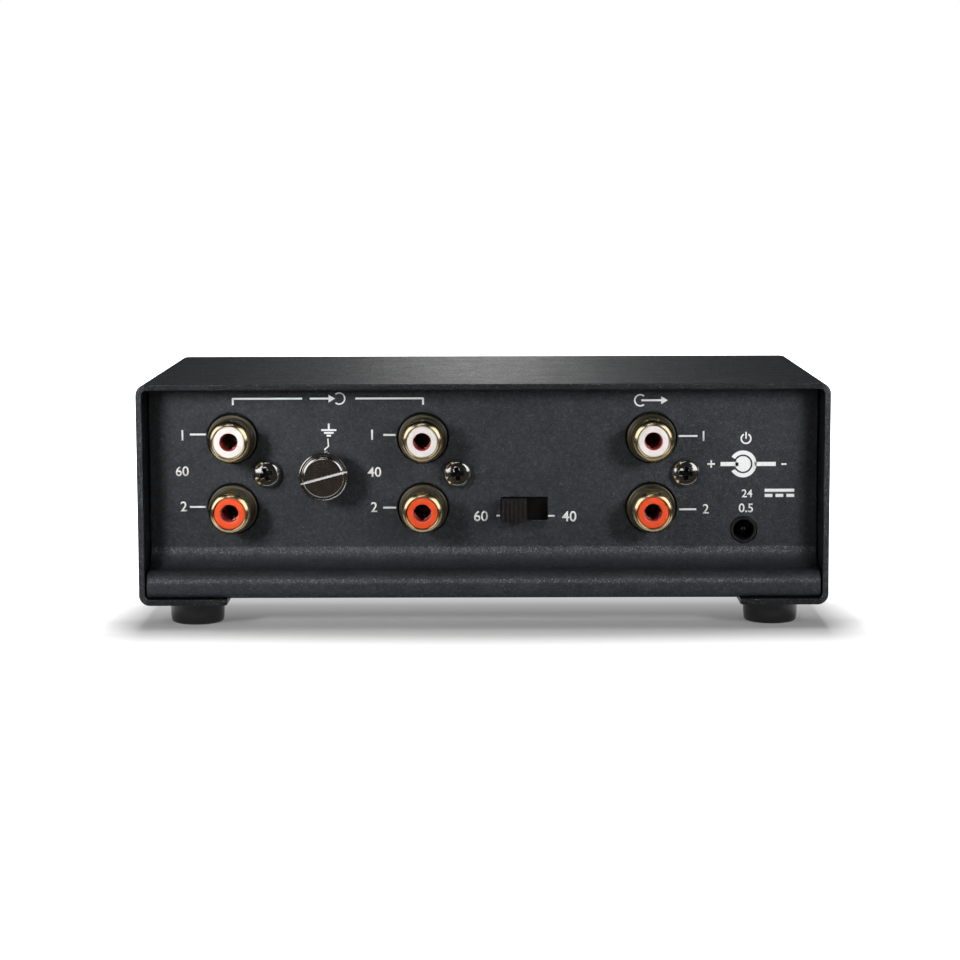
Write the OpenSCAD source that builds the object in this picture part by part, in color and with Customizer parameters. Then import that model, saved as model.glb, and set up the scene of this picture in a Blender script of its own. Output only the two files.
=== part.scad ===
// Phono preamp: a small two-channel pre-amplifier in a folded steel case.
// The origin is on the rest plane of the feet, under the middle of the case. +Z is up, the connector
// panel faces -Y, the front panel faces +Y, and +X is to the right of a person facing the connectors.

/* [Outer cover] */
// Width over the outer cover
cover_w = 135; // [132:1:180]
// Depth of the outer cover, from its connector edge to its front edge
cover_d = 72; // [70:1:110]
// Height of the outer cover, without the feet
cover_h = 43.5; // [43:0.5:60]
// Thickness of the sheet steel of cover and chassis
sheet_t = 1.2; // [0.8:0.1:1.5]
// Outer radius of the cover's long folds
cover_fold_r = 3; // [2:0.5:4]
// Width of each flange that is turned in under the body
flange_w = 17.2; // [16.4:0.2:22]
// Corner radius of the flanges, seen from below
flange_corner_r = 1; // [0.5:0.5:3]
// Gap between the chassis and the cover's walls
cover_gap = 0.3; // [0.2:0.1:0.6]

/* [Chassis] */
// How far both panels stand back from the cover's edges
recess = 8.5; // [8:0.5:10]
// How far both lips stand back from the cover's edges
lip_inset = 0.4; // [0.2:0.1:1]
// Height of the lips, from the floor's underside to the top of the shelf
lip_h = 5.4; // [5.2:0.2:7]
// Outer radius of the fold at the foot of a lip
lip_low_r = 1.8; // [1.6:0.1:2.4]
// Outer radius of the fold at the top of a lip
lip_top_r = 2.3; // [1.8:0.1:2.6]
// Radius of the hollow fold from shelf to panel
panel_fold_r = 4; // [2:0.5:4]

/* [Feet and screws] */
// Diameter of a foot where it meets the cover
foot_d = 11; // [9.5:0.5:13]
// Diameter of a foot where it meets the table
foot_low_d = 10.2; // [9:0.2:12]
// Height of a foot
foot_h = 4.5; // [4:0.5:8]
// Rounding of a foot's lower edge
foot_edge_r = 0.8; // [0.4:0.1:1]
// Distance of a foot's centre from the side of the cover
foot_side_inset = 10.5; // [8:0.5:10.5]
// Distance of a foot's centre from the cover's connector or front edge
foot_end_inset = 9; // [8.5:0.5:12]
// Thread diameter of all case screws
screw_d = 3; // [2.5:0.5:3]
// Head diameter of all case screws
screw_head_d = 5.6; // [5:0.1:6]
// Head height of all case screws
screw_head_h = 2.2; // [1.8:0.1:2.3]
// Length of the screws in the feet and on the circuit board
screw_l = 6; // [5.6:0.2:6.4]
// Diameter of a clinch nut in the chassis floor
nut_d = 6; // [5:0.5:6.5]
// Height of a clinch nut
nut_h = 2; // [1.5:0.1:2.5]

/* [Circuit board] */
// Thickness of the circuit board
board_t = 1.6; // [1:0.2:2]
// Height of the standoffs between chassis floor and board
standoff_h = 6; // [5.5:0.5:8]
// Diameter of a standoff
standoff_d = 5.5; // [4.5:0.5:6]
// Gap between the board's ends and the two panels
board_end_gap = 0.5; // [0.3:0.1:1]
// Gap between the board's sides and the cover
board_side_gap = 2.3; // [1:0.1:3]
// Distance of a standoff from the board's side edge
standoff_side_inset = 4; // [3.5:0.5:4]
// Distance of a standoff from the board's end edge
standoff_end_inset = 4.8; // [4.6:0.1:5.5]

/* [Phono jacks] */
// Place of the first input pair, left of the middle
input_1_x = -49.6; // [-50:0.1:-48]
// Place of the second input pair, left of the middle
input_2_x = -11.9; // [-13:0.1:-10.5]
// Place of the output pair, right of the middle
output_x = 33.2; // [30:0.1:35]
// Height of the lower jack's axis above the circuit board
jack_rise = 8.1; // [7:0.1:8.5]
// Distance between a pair's two axes
jack_pitch = 14; // [14:0.1:17]
// Outer diameter of the gold shell
shell_d = 8.3; // [8:0.1:10]
// Wall of the gold shell
shell_wall = 1; // [0.8:0.1:1.2]
// How far the shell stands out of the panel
shell_l = 8; // [7:0.1:8]
// Width of the shell's collar round the barrel
collar_step = 0.85; // [0.5:0.05:1]
// How far the collar stands out of the panel
collar_h = 1; // [0.5:0.1:1.5]
// How far the insulator's face lies behind the shell's tip
insulator_inset = 0.4; // [0.2:0.1:0.8]
// Diameter of the hole for the plug's pin
plug_hole_d = 3.4; // [3.3:0.1:3.6]
// Outer diameter of the centre contact's tube
contact_d = 4; // [3.9:0.1:4.4]
// Depth of a jack housing behind the panel
housing_d = 11.5; // [11.5:0.5:13]
// Distance of the fixing screw from the jacks' axes
jack_screw_dx = 6.8; // [6.8:0.1:7]
// Length of the jack screws
jack_screw_l = 8; // [7:0.5:8]

/* [Ground terminal] */
// Place of the ground terminal, left of the middle
ground_x = -31.3; // [-33:0.1:-30]
// Diameter of the ground screw's head
ground_head_d = 9.7; // [9:0.1:11]
// Height of the ground screw's head
ground_head_h = 5.5; // [4.5:0.1:5.5]
// Chamfer of the ground screw's head
ground_chamfer = 0.5; // [0.3:0.1:0.8]
// Width of the screwdriver slot
ground_slot_w = 1; // [0.8:0.1:1.4]
// Depth of the screwdriver slot
ground_slot_depth = 1.2; // [0.8:0.1:1.6]
// Turn of the slot at rest, from level, rising to the right
ground_slot_turn = 15; // [0:5:90]
// Thread diameter of the ground screw
ground_thread_d = 4; // [3:0.1:4.8]
// Length of the ground screw's thread
ground_thread_l = 9; // [8:0.5:10]
// Thickness of the captive washer
ground_washer_t = 0.6; // [0.5:0.1:0.8]
// Wall of the threaded bush
bush_wall = 1; // [0.8:0.1:1.2]
// Length of the threaded bush behind the panel's face
bush_l = 9; // [8.5:0.5:11]
// Thickness of the solder lug
lug_t = 0.5; // [0.4:0.1:0.8]

/* [Selector switch] */
// Middle of the switch slot, right of the middle
switch_x = 8.1; // [8:0.1:9]
// Height of the switch slot's middle above the circuit board
switch_rise = 7.95; // [7.8:0.1:9]
// Width of the ribbed knob
knob_w = 5.1; // [4:0.1:5.5]
// Height of the ribbed knob
knob_h = 4.3; // [3.5:0.1:5.2]
// How far the knob stands out of the panel
knob_l = 4.8; // [3:0.1:6]
// How far the knob slides
switch_travel = 4; // [3:0.1:4.8]
// Running gap between the knob and its slot
knob_gap = 0.2; // [0.1:0.05:0.4]
// Number of grooves across the knob
knob_grooves = 5; // [3:1:6]

/* [Power inlet] */
// Middle of the power inlet, right of the middle
inlet_x = 51.6; // [50:0.1:52]
// Height of the power inlet's axis above the circuit board
inlet_rise = 3.6; // [3.6:0.1:5]
// Outer diameter of the inlet's nose
inlet_nose_d = 5.1; // [5:0.1:6]
// Diameter of the hole that takes the plug's barrel
inlet_bore_d = 4.1; // [4:0.1:4.2]
// Diameter of the inlet's centre pin
inlet_pin_d = 1.65; // [1.3:0.05:1.7]

/* [Power lamp] */
// Middle of the lamp on the front panel
lamp_x = 0; // [-4:0.5:4]
// Height of the lamp's axis above the circuit board
lamp_rise = 7.5; // [7:0.5:12]
// Diameter of the lamp's lens
lamp_d = 2.9; // [2.8:0.1:3]

/* [Hidden] */
$fn = 64;
// Clearance of pieces that sit in each other
fit = 0.05;
// Clearance of screws and collars in sheet-metal holes
hole_fit = 0.15;
// How far a cutting shape runs past what it cuts
cut = 1;

// Heights
z_floor = foot_h + sheet_t;
z_floor_top = z_floor + sheet_t;
z_shelf = z_floor + lip_h;
z_board = z_floor_top + standoff_h;
z_board_top = z_board + board_t;
z_lower = z_board_top + jack_rise;
z_upper = z_lower + jack_pitch;
z_middle = (z_lower + z_upper) / 2;
z_roof = foot_h + cover_h - sheet_t;
z_panel_top = z_roof - cover_gap;

// Distances from the middle plane to the faces at both ends
y_edge = cover_d / 2;
y_lip = y_edge - lip_inset;
y_panel = y_edge - recess;
y_inside = y_panel - sheet_t;
y_board = y_inside - board_end_gap;
y_foot = y_edge - foot_end_inset;
y_standoff = y_board - standoff_end_inset;

// Distances from the middle plane to the faces at both sides
x_inside = cover_w / 2 - sheet_t;
x_chassis = x_inside - cover_gap;
x_board = x_inside - board_side_gap;
x_foot = cover_w / 2 - foot_side_inset;
x_standoff = x_board - standoff_side_inset;

// Feet
foot_recess_gap = 0.3;
foot_recess_h = screw_head_h + 0.2;

// Jacks
jack_x = [input_1_x, input_2_x, output_x];
shell_r = shell_d / 2;
shell_in_r = shell_r - shell_wall;
collar_r = shell_r + collar_step;
spigot_step = 0.25;
spigot_r = shell_r - spigot_step;
spigot_l = 3;
insulator_r = shell_in_r - fit;
insulator_l = 8;
insulator_web = 3.1;
contact_front = shell_l - insulator_inset - insulator_web - fit;
contact_l = 11.8;
contact_floor = 1;
contact_wall = 0.5;
contact_slot_w = 0.5;
contact_tail_w = 1.6;
contact_tail_t = 0.4;
contact_tail_depth = [9.7, 11.1];
stem_r = 0.6;
housing_wall = 0.4;
housing_w = 2 * (collar_r + housing_wall);
housing_head = 6.4;
ear_reach = 3.1;
ear_h = 9;
ear_d = 8;
groove_w = 2.6;
groove_depth = 2.7;

// Ground terminal
bush_bore_r = ground_thread_d / 2;
bush_r = bush_bore_r + bush_wall;
bush_collar_w = 1;
bush_collar_r = bush_r + bush_collar_w;
bush_collar_h = 1;
ground_washer_inset = 0.45;
ground_washer_r = ground_head_d / 2 - ground_washer_inset;
ground_head_z = bush_collar_h + ground_washer_t;
nut_t = 2.4;
nut_wall = 1.6;
lug_ring_w = 1.2;
lug_tail_w = 3.2;
lug_tail_l = 11;
lug_hole_r = 0.65;
lug_hole_drop = lug_tail_l - 1.6;
wire_r = 0.6;
wire_bend_r = 1.5;
wire_reach = 1;

// Switch
slot_w = knob_w + switch_travel + knob_gap;
slot_h = knob_h + 2 * knob_gap;
frame_t = 0.5;
plate_margin = 0.2;
plate_rise = 2;
plate_t = 1.6;
plate_gap = 0.15;
plate_w = slot_w + switch_travel + 2 * plate_margin;
plate_h = slot_h + 2 * plate_rise;
plate_front = -sheet_t - frame_t - plate_gap;
frame_side_gap = 0.2;
frame_top_gap = 1.15;
frame_in_w = plate_w + switch_travel + 2 * frame_side_gap;
frame_in_h = plate_h + 2 * frame_top_gap;
frame_window = 0.5;
frame_d = 8;
frame_foot_w = 2;
frame_foot_z = -4.5;
carriage_w = 8;
carriage_h = 6.4;
carriage_t = 1.5;
carriage_back = plate_front - plate_t - carriage_t;
wafer_t = 1.5;
wafer_front = -sheet_t - frame_d + wafer_t;
wafer_back = wafer_front - wafer_t;
terminal_pitch = 3.8;
terminal_w = 0.9;
terminal_t = 0.5;
terminal_row = 2.2;
terminal_proud = 0.3;
terminal_back = [1.2, 2.5];
wiper_t = 0.3;
wiper_w = 1.2;
wiper_reach = 0.8;
wiper_stud_w = 0.8;
wiper_gap = 0.2;
knob_groove_pitch = knob_w / (knob_grooves + 1);
knob_groove_w = knob_groove_pitch * 0.4;
knob_groove_d = 0.4;

// Power inlet
inlet_body_w = 9;
inlet_body_h = 8.2;
inlet_body_d = 13;
inlet_proud = 0.15;
inlet_bore_l = 9.3;
inlet_pin_inset = 0.8;
inlet_back = -sheet_t - inlet_body_d;
leaf_t = 0.3;
leaf_w = 1.6;
leaf_drop = 2.75;
leaf_front = -2;
leaf_tail = 1;
leaf_room = 0.35;
pin_root_r = 1.1;
pin_head_r = 1.6;
pin_tab_t = 0.4;
pin_tab_w = 1.2;
pin_tab_x = 1;

// Power lamp
lamp_r = lamp_d / 2;
lamp_hole_r = lamp_r + hole_fit;
lamp_flange_w = 0.35;
lamp_flange_r = lamp_r + lamp_flange_w;
lamp_flange_t = 1;
lamp_back = -6;
holder_w = 6;
holder_d = 3.5;
holder_top = 3;
lead_r = 0.25;
lead_pitch = 2.54;
lead_reach = 1.5;

// Rows of circuit parts, counted from the back of the connector panel
first_row = 18.3;
row_pitch = 9.2;
row_y = [for (n = [0:3]) first_row + n * row_pitch - y_inside];

// Film capacitors, in the first row
film_n = 8;
film_pitch = 9.5;
film_x = -56;
film_size = [7.2, 3.2, 7];
film_lift = 0.5;
film_lead_r = 0.3;
film_lead_pitch = 5;

// Amplifiers, in the second row
amp_x = [-44, -16, 12];
amp_size = [9.8, 6.4, 3.3];
amp_lift = 0.8;
amp_leg_size = [0.6, 0.5, 2.4];
amp_leg_span = 6.9;
pin_pitch = 2.54;

// Transistors, in the second row
transistor_x = [-32.8, -27.2, -4.8, 0.8];
transistor_r = 2.3;
transistor_h = 4.6;
transistor_flat = 1.2;
transistor_lift = 3;
transistor_leg_w = 0.45;

// Regulator, in the second row
regulator_x = 36;
regulator_size = [10, 4.4, 9];
regulator_lift = 3.5;
regulator_tab_t = 1.3;
regulator_tab_h = 15.5;
regulator_tab_hole_r = 1.8;
regulator_leg_size = [0.8, 0.5];

// Resistors, in the third row, and the supply diode, in the first
resistor_n = 16;
resistor_pitch = 5;
resistor_x = -56;
resistor_r = 1.2;
resistor_l = 6.3;
resistor_lead_r = 0.3;
diode_x = 20.5;
diode_r = 1.35;
diode_l = 5.2;
diode_lead_r = 0.4;
axial_span = 9;
axial_lift = 0.4;

// Coupling capacitors, in the fourth row
coupling_x = [-52, -40, -28, -16, 15, 27];
coupling_r = 4;
coupling_h = 11.5;

// Supply capacitors and chokes, at the power inlet
supply_x = 52;
supply_row = 5;
supply_pitch = 13.5;
supply_r = 6.25;
supply_h = 20;
choke_x = [30, 39];
choke_r = 3.2;
choke_waist_r = 2.6;
choke_flange_t = 1.4;
choke_waist_h = 4.4;

jack_names = [for (n = [1:3]) str("jack_housing_", n)];
contact_names = [for (n = [1:3]) str("jack_contacts_", n)];
upper_shell_names = [for (n = [1:3]) str("jack_shell_upper_", n)];
lower_shell_names = [for (n = [1:3]) str("jack_shell_lower_", n)];
upper_insulator_names = [for (n = [1:3]) str("jack_insulator_upper_", n)];
lower_insulator_names = [for (n = [1:3]) str("jack_insulator_lower_", n)];
amp_names = [for (n = [1:3]) str("amplifier_", n)];
foot_names = ["foot_rear_left", "foot_rear_right", "foot_front_left", "foot_front_right"];
foot_places = [for (y = [-y_foot, y_foot], x = [-x_foot, x_foot]) [x, y]];

// Which node is drawn

// A place on the connector panel's face: local +Z points out of the panel, local +Y up
module at_rear(x, z) {
    translate([x, -y_panel, z]) rotate([90, 0, 0]) children();
}

// A place on the front panel's face: local +Z points out of the panel, local +Y down
module at_front(x, z) {
    translate([x, y_panel, z]) rotate([-90, 0, 0]) children();
}

// A place on top of the circuit board
module on_board(x, y) {
    translate([x, y, z_board_top]) children();
}

// A cutting cylinder through the sheet at local Z from -sheet_t to 0
module sheet_hole(r) {
    translate([0, 0, -sheet_t - cut]) cylinder(r = r, h = sheet_t + 2 * cut);
}

// A box that is centred on local X and Y and spans local Z from z0 to z1
module slab(w, h, z0, z1) {
    translate([-w / 2, -h / 2, z0]) cube([w, h, z1 - z0]);
}

// Screw with a domed head and a cross recess: the head stands on local Z = 0, the thread runs to -l
module pan_screw(l) {
    dome_r = screw_head_d * 0.75;
    cross_w = screw_head_d * 0.17;
    cross_l = screw_head_d * 0.55;
    cross_floor = screw_head_h * 0.4;
    difference() {
        union() {
            intersection() {
                cylinder(d = screw_head_d, h = screw_head_h);
                translate([0, 0, screw_head_h - dome_r]) sphere(dome_r);
            }
            translate([0, 0, -l]) cylinder(r = screw_d / 2 - fit, h = l + cross_floor);
        }
        for (turn = [0, 90]) rotate(turn) slab(cross_w, cross_l, cross_floor, screw_head_h + cut);
    }
}

// Rectangle with round corners, centred
module round_rect(w, h, r) {
    square([w - 2 * r, h], center = true);
    square([w, h - 2 * r], center = true);
    for (x = [-1, 1], y = [-1, 1]) translate([x * (w / 2 - r), y * (h / 2 - r)]) circle(r);
}

// Quarter of a folded sheet's section about the point c, from quarter turn q on
module fold(c, r_in, q) {
    translate(c) rotate(90 * q) intersection() {
        difference() {
            circle(r_in + sheet_t);
            circle(r_in);
        }
        square(r_in + sheet_t + cut);
    }
}

// What rounds off the inner corner of a flange, drawn at its corner point
module corner_cutter(r) {
    difference() {
        translate([0, 0, -cut]) cube([r, r, sheet_t + 2 * cut]);
        translate([0, 0, -2 * cut]) cylinder(r = r, h = sheet_t + 4 * cut);
    }
}

module outer_cover() {
    slit_w = cover_w - 2 * flange_w;
    color("#2f3136") difference() {
        translate([0, 0, foot_h + cover_h / 2]) rotate([90, 0, 0])
            linear_extrude(cover_d, center = true) difference() {
                round_rect(cover_w, cover_h, cover_fold_r);
                round_rect(cover_w - 2 * sheet_t, cover_h - 2 * sheet_t, cover_fold_r - sheet_t);
                translate([-slit_w / 2, -cover_h / 2 - cut]) square([slit_w, sheet_t + 2 * cut]);
            }
        for (p = foot_places) translate([p[0], p[1], foot_h - cut])
            cylinder(r = screw_d / 2 + hole_fit, h = sheet_t + 2 * cut);
        for (x = [0, 1], y = [0, 1]) mirror([x, 0, 0]) mirror([0, y, 0])
            translate([-slit_w / 2 - flange_corner_r, y_edge - flange_corner_r, foot_h])
                corner_cutter(flange_corner_r);
    }
}

// Section of one end of the chassis: floor, lip, shelf and panel
module chassis_end() {
    shelf_y = y_panel + panel_fold_r;
    translate([0, z_floor]) square([y_lip - lip_low_r, sheet_t]);
    fold([y_lip - lip_low_r, z_floor + lip_low_r], lip_low_r - sheet_t, 3);
    translate([y_lip - sheet_t, z_floor + lip_low_r])
        square([sheet_t, lip_h - lip_low_r - lip_top_r]);
    fold([y_lip - lip_top_r, z_shelf - lip_top_r], lip_top_r - sheet_t, 0);
    translate([shelf_y, z_shelf - sheet_t]) square([y_lip - lip_top_r - shelf_y, sheet_t]);
    fold([shelf_y, z_shelf + panel_fold_r], panel_fold_r, 2);
    translate([y_inside, z_shelf + panel_fold_r])
        square([sheet_t, z_panel_top - z_shelf - panel_fold_r]);
}

// Folded sheet, with its four long corners trimmed to the cover's inner folds
module chassis_sheet() {
    sheet_h = z_panel_top - z_floor;
    intersection() {
        rotate([90, 0, 90]) linear_extrude(2 * x_chassis, center = true) {
            chassis_end();
            mirror([1, 0]) chassis_end();
        }
        translate([0, 0, z_floor + sheet_h / 2]) rotate([90, 0, 0])
            linear_extrude(cover_d, center = true)
                round_rect(2 * x_chassis, sheet_h, cover_fold_r - sheet_t);
    }
}

module chassis() {
    color("#3a3d42") difference() {
        chassis_sheet();
        for (x = jack_x) {
            for (z = [z_lower, z_upper]) at_rear(x, z) sheet_hole(collar_r + hole_fit);
            at_rear(x + jack_screw_dx, z_middle) sheet_hole(screw_d / 2 + hole_fit);
        }
        at_rear(ground_x, z_middle) sheet_hole(bush_r + fit);
        at_rear(switch_x, z_board_top + switch_rise) slab(slot_w, slot_h, -sheet_t - cut, cut);
        at_rear(inlet_x, z_board_top + inlet_rise) sheet_hole(inlet_nose_d / 2 + hole_fit);
        at_front(lamp_x, z_board_top + lamp_rise) sheet_hole(lamp_hole_r);
        for (p = foot_places) translate([p[0], p[1], z_floor_top]) sheet_hole(screw_d / 2 + fit);
    }
}

// Rubber foot with a recess for its screw
module foot(p) {
    low_r = foot_low_d / 2;
    color("#26272a") translate([p[0], p[1], 0]) difference() {
        rotate_extrude() {
            polygon([[0, 0], [low_r - foot_edge_r, 0], [low_r - foot_edge_r, foot_edge_r],
                [low_r, foot_edge_r], [foot_d / 2, foot_h], [0, foot_h]]);
            intersection() {
                translate([low_r - foot_edge_r, foot_edge_r]) circle(foot_edge_r);
                square([low_r, foot_edge_r]);
            }
        }
        translate([0, 0, -cut]) cylinder(r = screw_d / 2 + hole_fit, h = foot_h + 2 * cut);
        translate([0, 0, -cut]) cylinder(r = screw_head_d / 2 + foot_recess_gap, h = foot_recess_h + cut);
    }
}

module foot_screws() {
    color("#8d9095") for (p = foot_places)
        translate([p[0], p[1], foot_recess_h]) rotate([180, 0, 0]) pan_screw(screw_l);
}

module foot_nuts() {
    color("#a9abae") for (p = foot_places) translate([p[0], p[1], z_floor_top]) difference() {
        cylinder(d = nut_d, h = nut_h);
        translate([0, 0, -cut]) cylinder(r = screw_d / 2, h = nut_h + 2 * cut);
    }
}

module at_standoffs() {
    for (x = [-x_standoff, x_standoff], y = [-y_standoff, y_standoff]) translate([x, y, 0]) children();
}

module circuit_board() {
    color("#1f5a3a") difference() {
        translate([0, 0, z_board]) slab(2 * x_board, 2 * y_board, 0, board_t);
        at_standoffs() translate([0, 0, z_board - cut])
            cylinder(r = screw_d / 2 + hole_fit, h = board_t + 2 * cut);
    }
}

module board_standoffs() {
    color("#b9a15a") at_standoffs() difference() {
        translate([0, 0, z_floor_top]) cylinder(d = standoff_d, h = standoff_h);
        translate([0, 0, z_floor_top - cut]) cylinder(r = screw_d / 2, h = standoff_h + 2 * cut);
    }
}

module board_screws() {
    color("#8d9095") at_standoffs() translate([0, 0, z_board_top]) pan_screw(screw_l);
}

// Housing that carries an upper and a lower jack and stands on the circuit board
module jack_housing(x) {
    back = -sheet_t - housing_d;
    bottom = z_board_top - z_middle;
    top = jack_pitch / 2 + housing_head;
    ear_w = jack_screw_dx + ear_reach - housing_w / 2;
    color("#1b1c1f") at_rear(x, z_middle) difference() {
        union() {
            translate([-housing_w / 2, bottom, back]) cube([housing_w, top - bottom, housing_d]);
            translate([housing_w / 2, -ear_h / 2, -sheet_t - ear_d]) cube([ear_w, ear_h, ear_d]);
        }
        for (y = [-jack_pitch / 2, jack_pitch / 2]) translate([0, y, 0]) {
            translate([0, 0, -sheet_t - spigot_l - fit])
                cylinder(r = spigot_r + fit, h = spigot_l + fit + cut);
            translate([0, 0, -sheet_t - insulator_l - fit]) cylinder(r = insulator_r + fit, h = insulator_l);
            translate([0, 0, back]) cylinder(r = stem_r + fit, h = housing_d);
        }
        translate([-groove_w / 2, bottom - cut, back - cut])
            cube([groove_w, jack_pitch / 2 + 1 - bottom + cut, groove_depth + cut]);
        translate([jack_screw_dx, 0, -sheet_t - ear_d - cut])
            cylinder(r = screw_d / 2, h = ear_d + 2 * cut);
    }
}

// Gold shell of one jack: barrel with a round tip, collar in the panel's hole, spigot in the housing
module jack_shell(x, z) {
    tip_r = shell_wall / 2;
    color("#d9b35a") at_rear(x, z) rotate_extrude() {
        translate([shell_in_r, -sheet_t - spigot_l]) square([spigot_r - shell_in_r, spigot_l]);
        translate([shell_in_r, -sheet_t]) square([collar_r - shell_in_r, sheet_t + collar_h]);
        translate([shell_in_r, collar_h]) square([shell_wall, shell_l - collar_h - tip_r]);
        translate([shell_in_r + tip_r, shell_l - tip_r]) circle(tip_r);
    }
}

// Insulator of one jack, hollow for the centre contact behind the plug's hole
module jack_insulator(x, z, c) {
    front = shell_l - insulator_inset;
    chamfer = 0.3;
    hollow_r = contact_d / 2 + fit;
    color(c) at_rear(x, z) rotate_extrude() polygon([
        [hollow_r, -sheet_t - insulator_l], [insulator_r, -sheet_t - insulator_l],
        [insulator_r, front - chamfer], [insulator_r - chamfer, front],
        [plug_hole_d / 2, front], [plug_hole_d / 2, front - insulator_web],
        [hollow_r, front - insulator_web]]);
}

// The two centre contacts of a housing: split tubes whose tails run down the groove to the board
module jack_contacts(x) {
    color("#cfa94f") for (n = [0, 1]) at_rear(x, [z_lower, z_upper][n]) {
        tail_z = -sheet_t - contact_tail_depth[n];
        drop = [z_lower, z_upper][n] - z_board_top;
        difference() {
            translate([0, 0, contact_front - contact_l]) cylinder(d = contact_d, h = contact_l);
            translate([0, 0, contact_front - contact_l + contact_floor])
                cylinder(r = contact_d / 2 - contact_wall, h = contact_l);
            for (turn = [0, 90]) rotate(turn)
                slab(contact_slot_w, contact_d + cut, contact_front - contact_l / 2, contact_front + cut);
        }
        translate([0, 0, tail_z]) cylinder(r = stem_r, h = contact_front - contact_l - tail_z);
        translate([-contact_tail_w / 2, -drop, tail_z])
            cube([contact_tail_w, drop + stem_r, contact_tail_t]);
    }
}

module jack_screws() {
    color("#17181a") for (x = jack_x) at_rear(x + jack_screw_dx, z_middle) pan_screw(jack_screw_l);
}

// Ground screw: slotted head that is turned by hand or coin, and thread in the bush
module ground_screw() {
    r = ground_head_d / 2;
    top = ground_head_z + ground_head_h;
    color("#c9ccd0") at_rear(ground_x, z_middle) difference() {
        rotate_extrude() {
            polygon([[0, ground_head_z], [r, ground_head_z], [r, top - ground_chamfer],
                [r - ground_chamfer, top], [0, top]]);
            translate([0, ground_head_z - ground_thread_l])
                square([ground_thread_d / 2 - fit, ground_thread_l]);
        }
        rotate(ground_slot_turn)
            slab(ground_head_d + cut, ground_slot_w, top - ground_slot_depth, top + cut);
    }
}

module ground_washer() {
    color("#b8bbbf") at_rear(ground_x, z_middle) difference() {
        translate([0, 0, bush_collar_h]) cylinder(r = ground_washer_r, h = ground_washer_t);
        cylinder(r = ground_thread_d / 2, h = bush_collar_h + 2 * cut);
    }
}

// Threaded bush: its collar lies on the panel, its barrel takes the nut inside
module ground_bush() {
    color("#c2a45a") at_rear(ground_x, z_middle) rotate_extrude() {
        translate([bush_bore_r, -bush_l]) square([bush_wall, bush_l + bush_collar_h]);
        translate([bush_bore_r, 0]) square([bush_collar_r - bush_bore_r, bush_collar_h]);
    }
}

module ground_nut() {
    front = -sheet_t - lug_t;
    color("#b8bbbf") at_rear(ground_x, z_middle) difference() {
        translate([0, 0, front - nut_t]) cylinder(r = bush_r + nut_wall, h = nut_t, $fn = 6);
        translate([0, 0, front - nut_t - cut]) cylinder(r = bush_r + fit, h = nut_t + 2 * cut);
    }
}

module ground_lug() {
    color("#d0d2d4") at_rear(ground_x, z_middle) difference() {
        translate([0, 0, -sheet_t - lug_t]) union() {
            cylinder(r = bush_r + lug_ring_w, h = lug_t);
            translate([-lug_tail_w / 2, -lug_tail_l, 0]) cube([lug_tail_w, lug_tail_l, lug_t]);
        }
        translate([0, 0, -sheet_t - lug_t - cut]) {
            cylinder(r = bush_r + fit, h = lug_t + 2 * cut);
            translate([0, -lug_hole_drop, 0]) cylinder(r = lug_hole_r, h = lug_t + 2 * cut);
        }
    }
}

// Wire from the lug's hole, back and round a bend, down to the circuit board
module ground_wire() {
    z_hole = z_middle - lug_hole_drop;
    y_back = -sheet_t - lug_t - wire_reach;
    color("#2e8b57") at_rear(ground_x, z_hole) {
        translate([0, 0, y_back]) cylinder(r = wire_r, h = -sheet_t - y_back);
        translate([0, -wire_bend_r, y_back]) rotate([0, -90, 0]) rotate([0, 0, 90])
            rotate_extrude(angle = 90) translate([wire_bend_r, 0]) circle(wire_r);
        translate([0, -wire_bend_r, y_back - wire_bend_r]) rotate([90, 0, 0])
            cylinder(r = wire_r, h = z_hole - wire_bend_r - z_board_top);
    }
}

// Steel frame of the selector switch, open at the back, on two feet
module switch_frame() {
    out_w = frame_in_w + 2 * frame_t;
    out_h = frame_in_h + 2 * frame_t;
    foot_l = switch_rise - out_h / 2 + frame_t;
    color("#aeb1b5") at_rear(switch_x, z_board_top + switch_rise) {
        difference() {
            slab(out_w, out_h, -sheet_t - frame_d, -sheet_t);
            slab(frame_in_w, frame_in_h, -sheet_t - frame_d - cut, -sheet_t - frame_t);
            slab(slot_w + 2 * frame_window, slot_h + 2 * frame_window, -sheet_t - frame_d, 0);
        }
        for (x = [-1, 1]) translate([x * (out_w / 2 - frame_foot_w), foot_l / 2 - switch_rise, 0])
            slab(frame_foot_w, foot_l, frame_foot_z - frame_t, frame_foot_z);
    }
}

module at_terminals() {
    for (x = [-1:1], y = [-1, 1]) translate([x * terminal_pitch, y * terminal_row, 0]) children();
}

module switch_wafer() {
    color("#7a5a35") at_rear(switch_x, z_board_top + switch_rise) difference() {
        slab(frame_in_w - 2 * fit, frame_in_h - 2 * fit, wafer_back, wafer_front);
        at_terminals() slab(terminal_w + 2 * fit, terminal_t + 2 * fit, wafer_back - cut, wafer_front + cut);
    }
}

// Six terminals: studs through the wafer, and tails down to the board in two planes
module switch_terminals() {
    color("#c9ccd0") at_rear(switch_x, z_board_top + switch_rise)
        for (x = [-1:1], y = [-1, 1]) translate([x * terminal_pitch, y * terminal_row, 0]) {
            back = wafer_back - terminal_back[y < 0 ? 0 : 1];
            drop = switch_rise + y * terminal_row;
            slab(terminal_w, terminal_t, back, wafer_front + terminal_proud);
            translate([-terminal_w / 2, -drop, back]) cube([terminal_w, drop, terminal_t]);
        }
}

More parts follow.
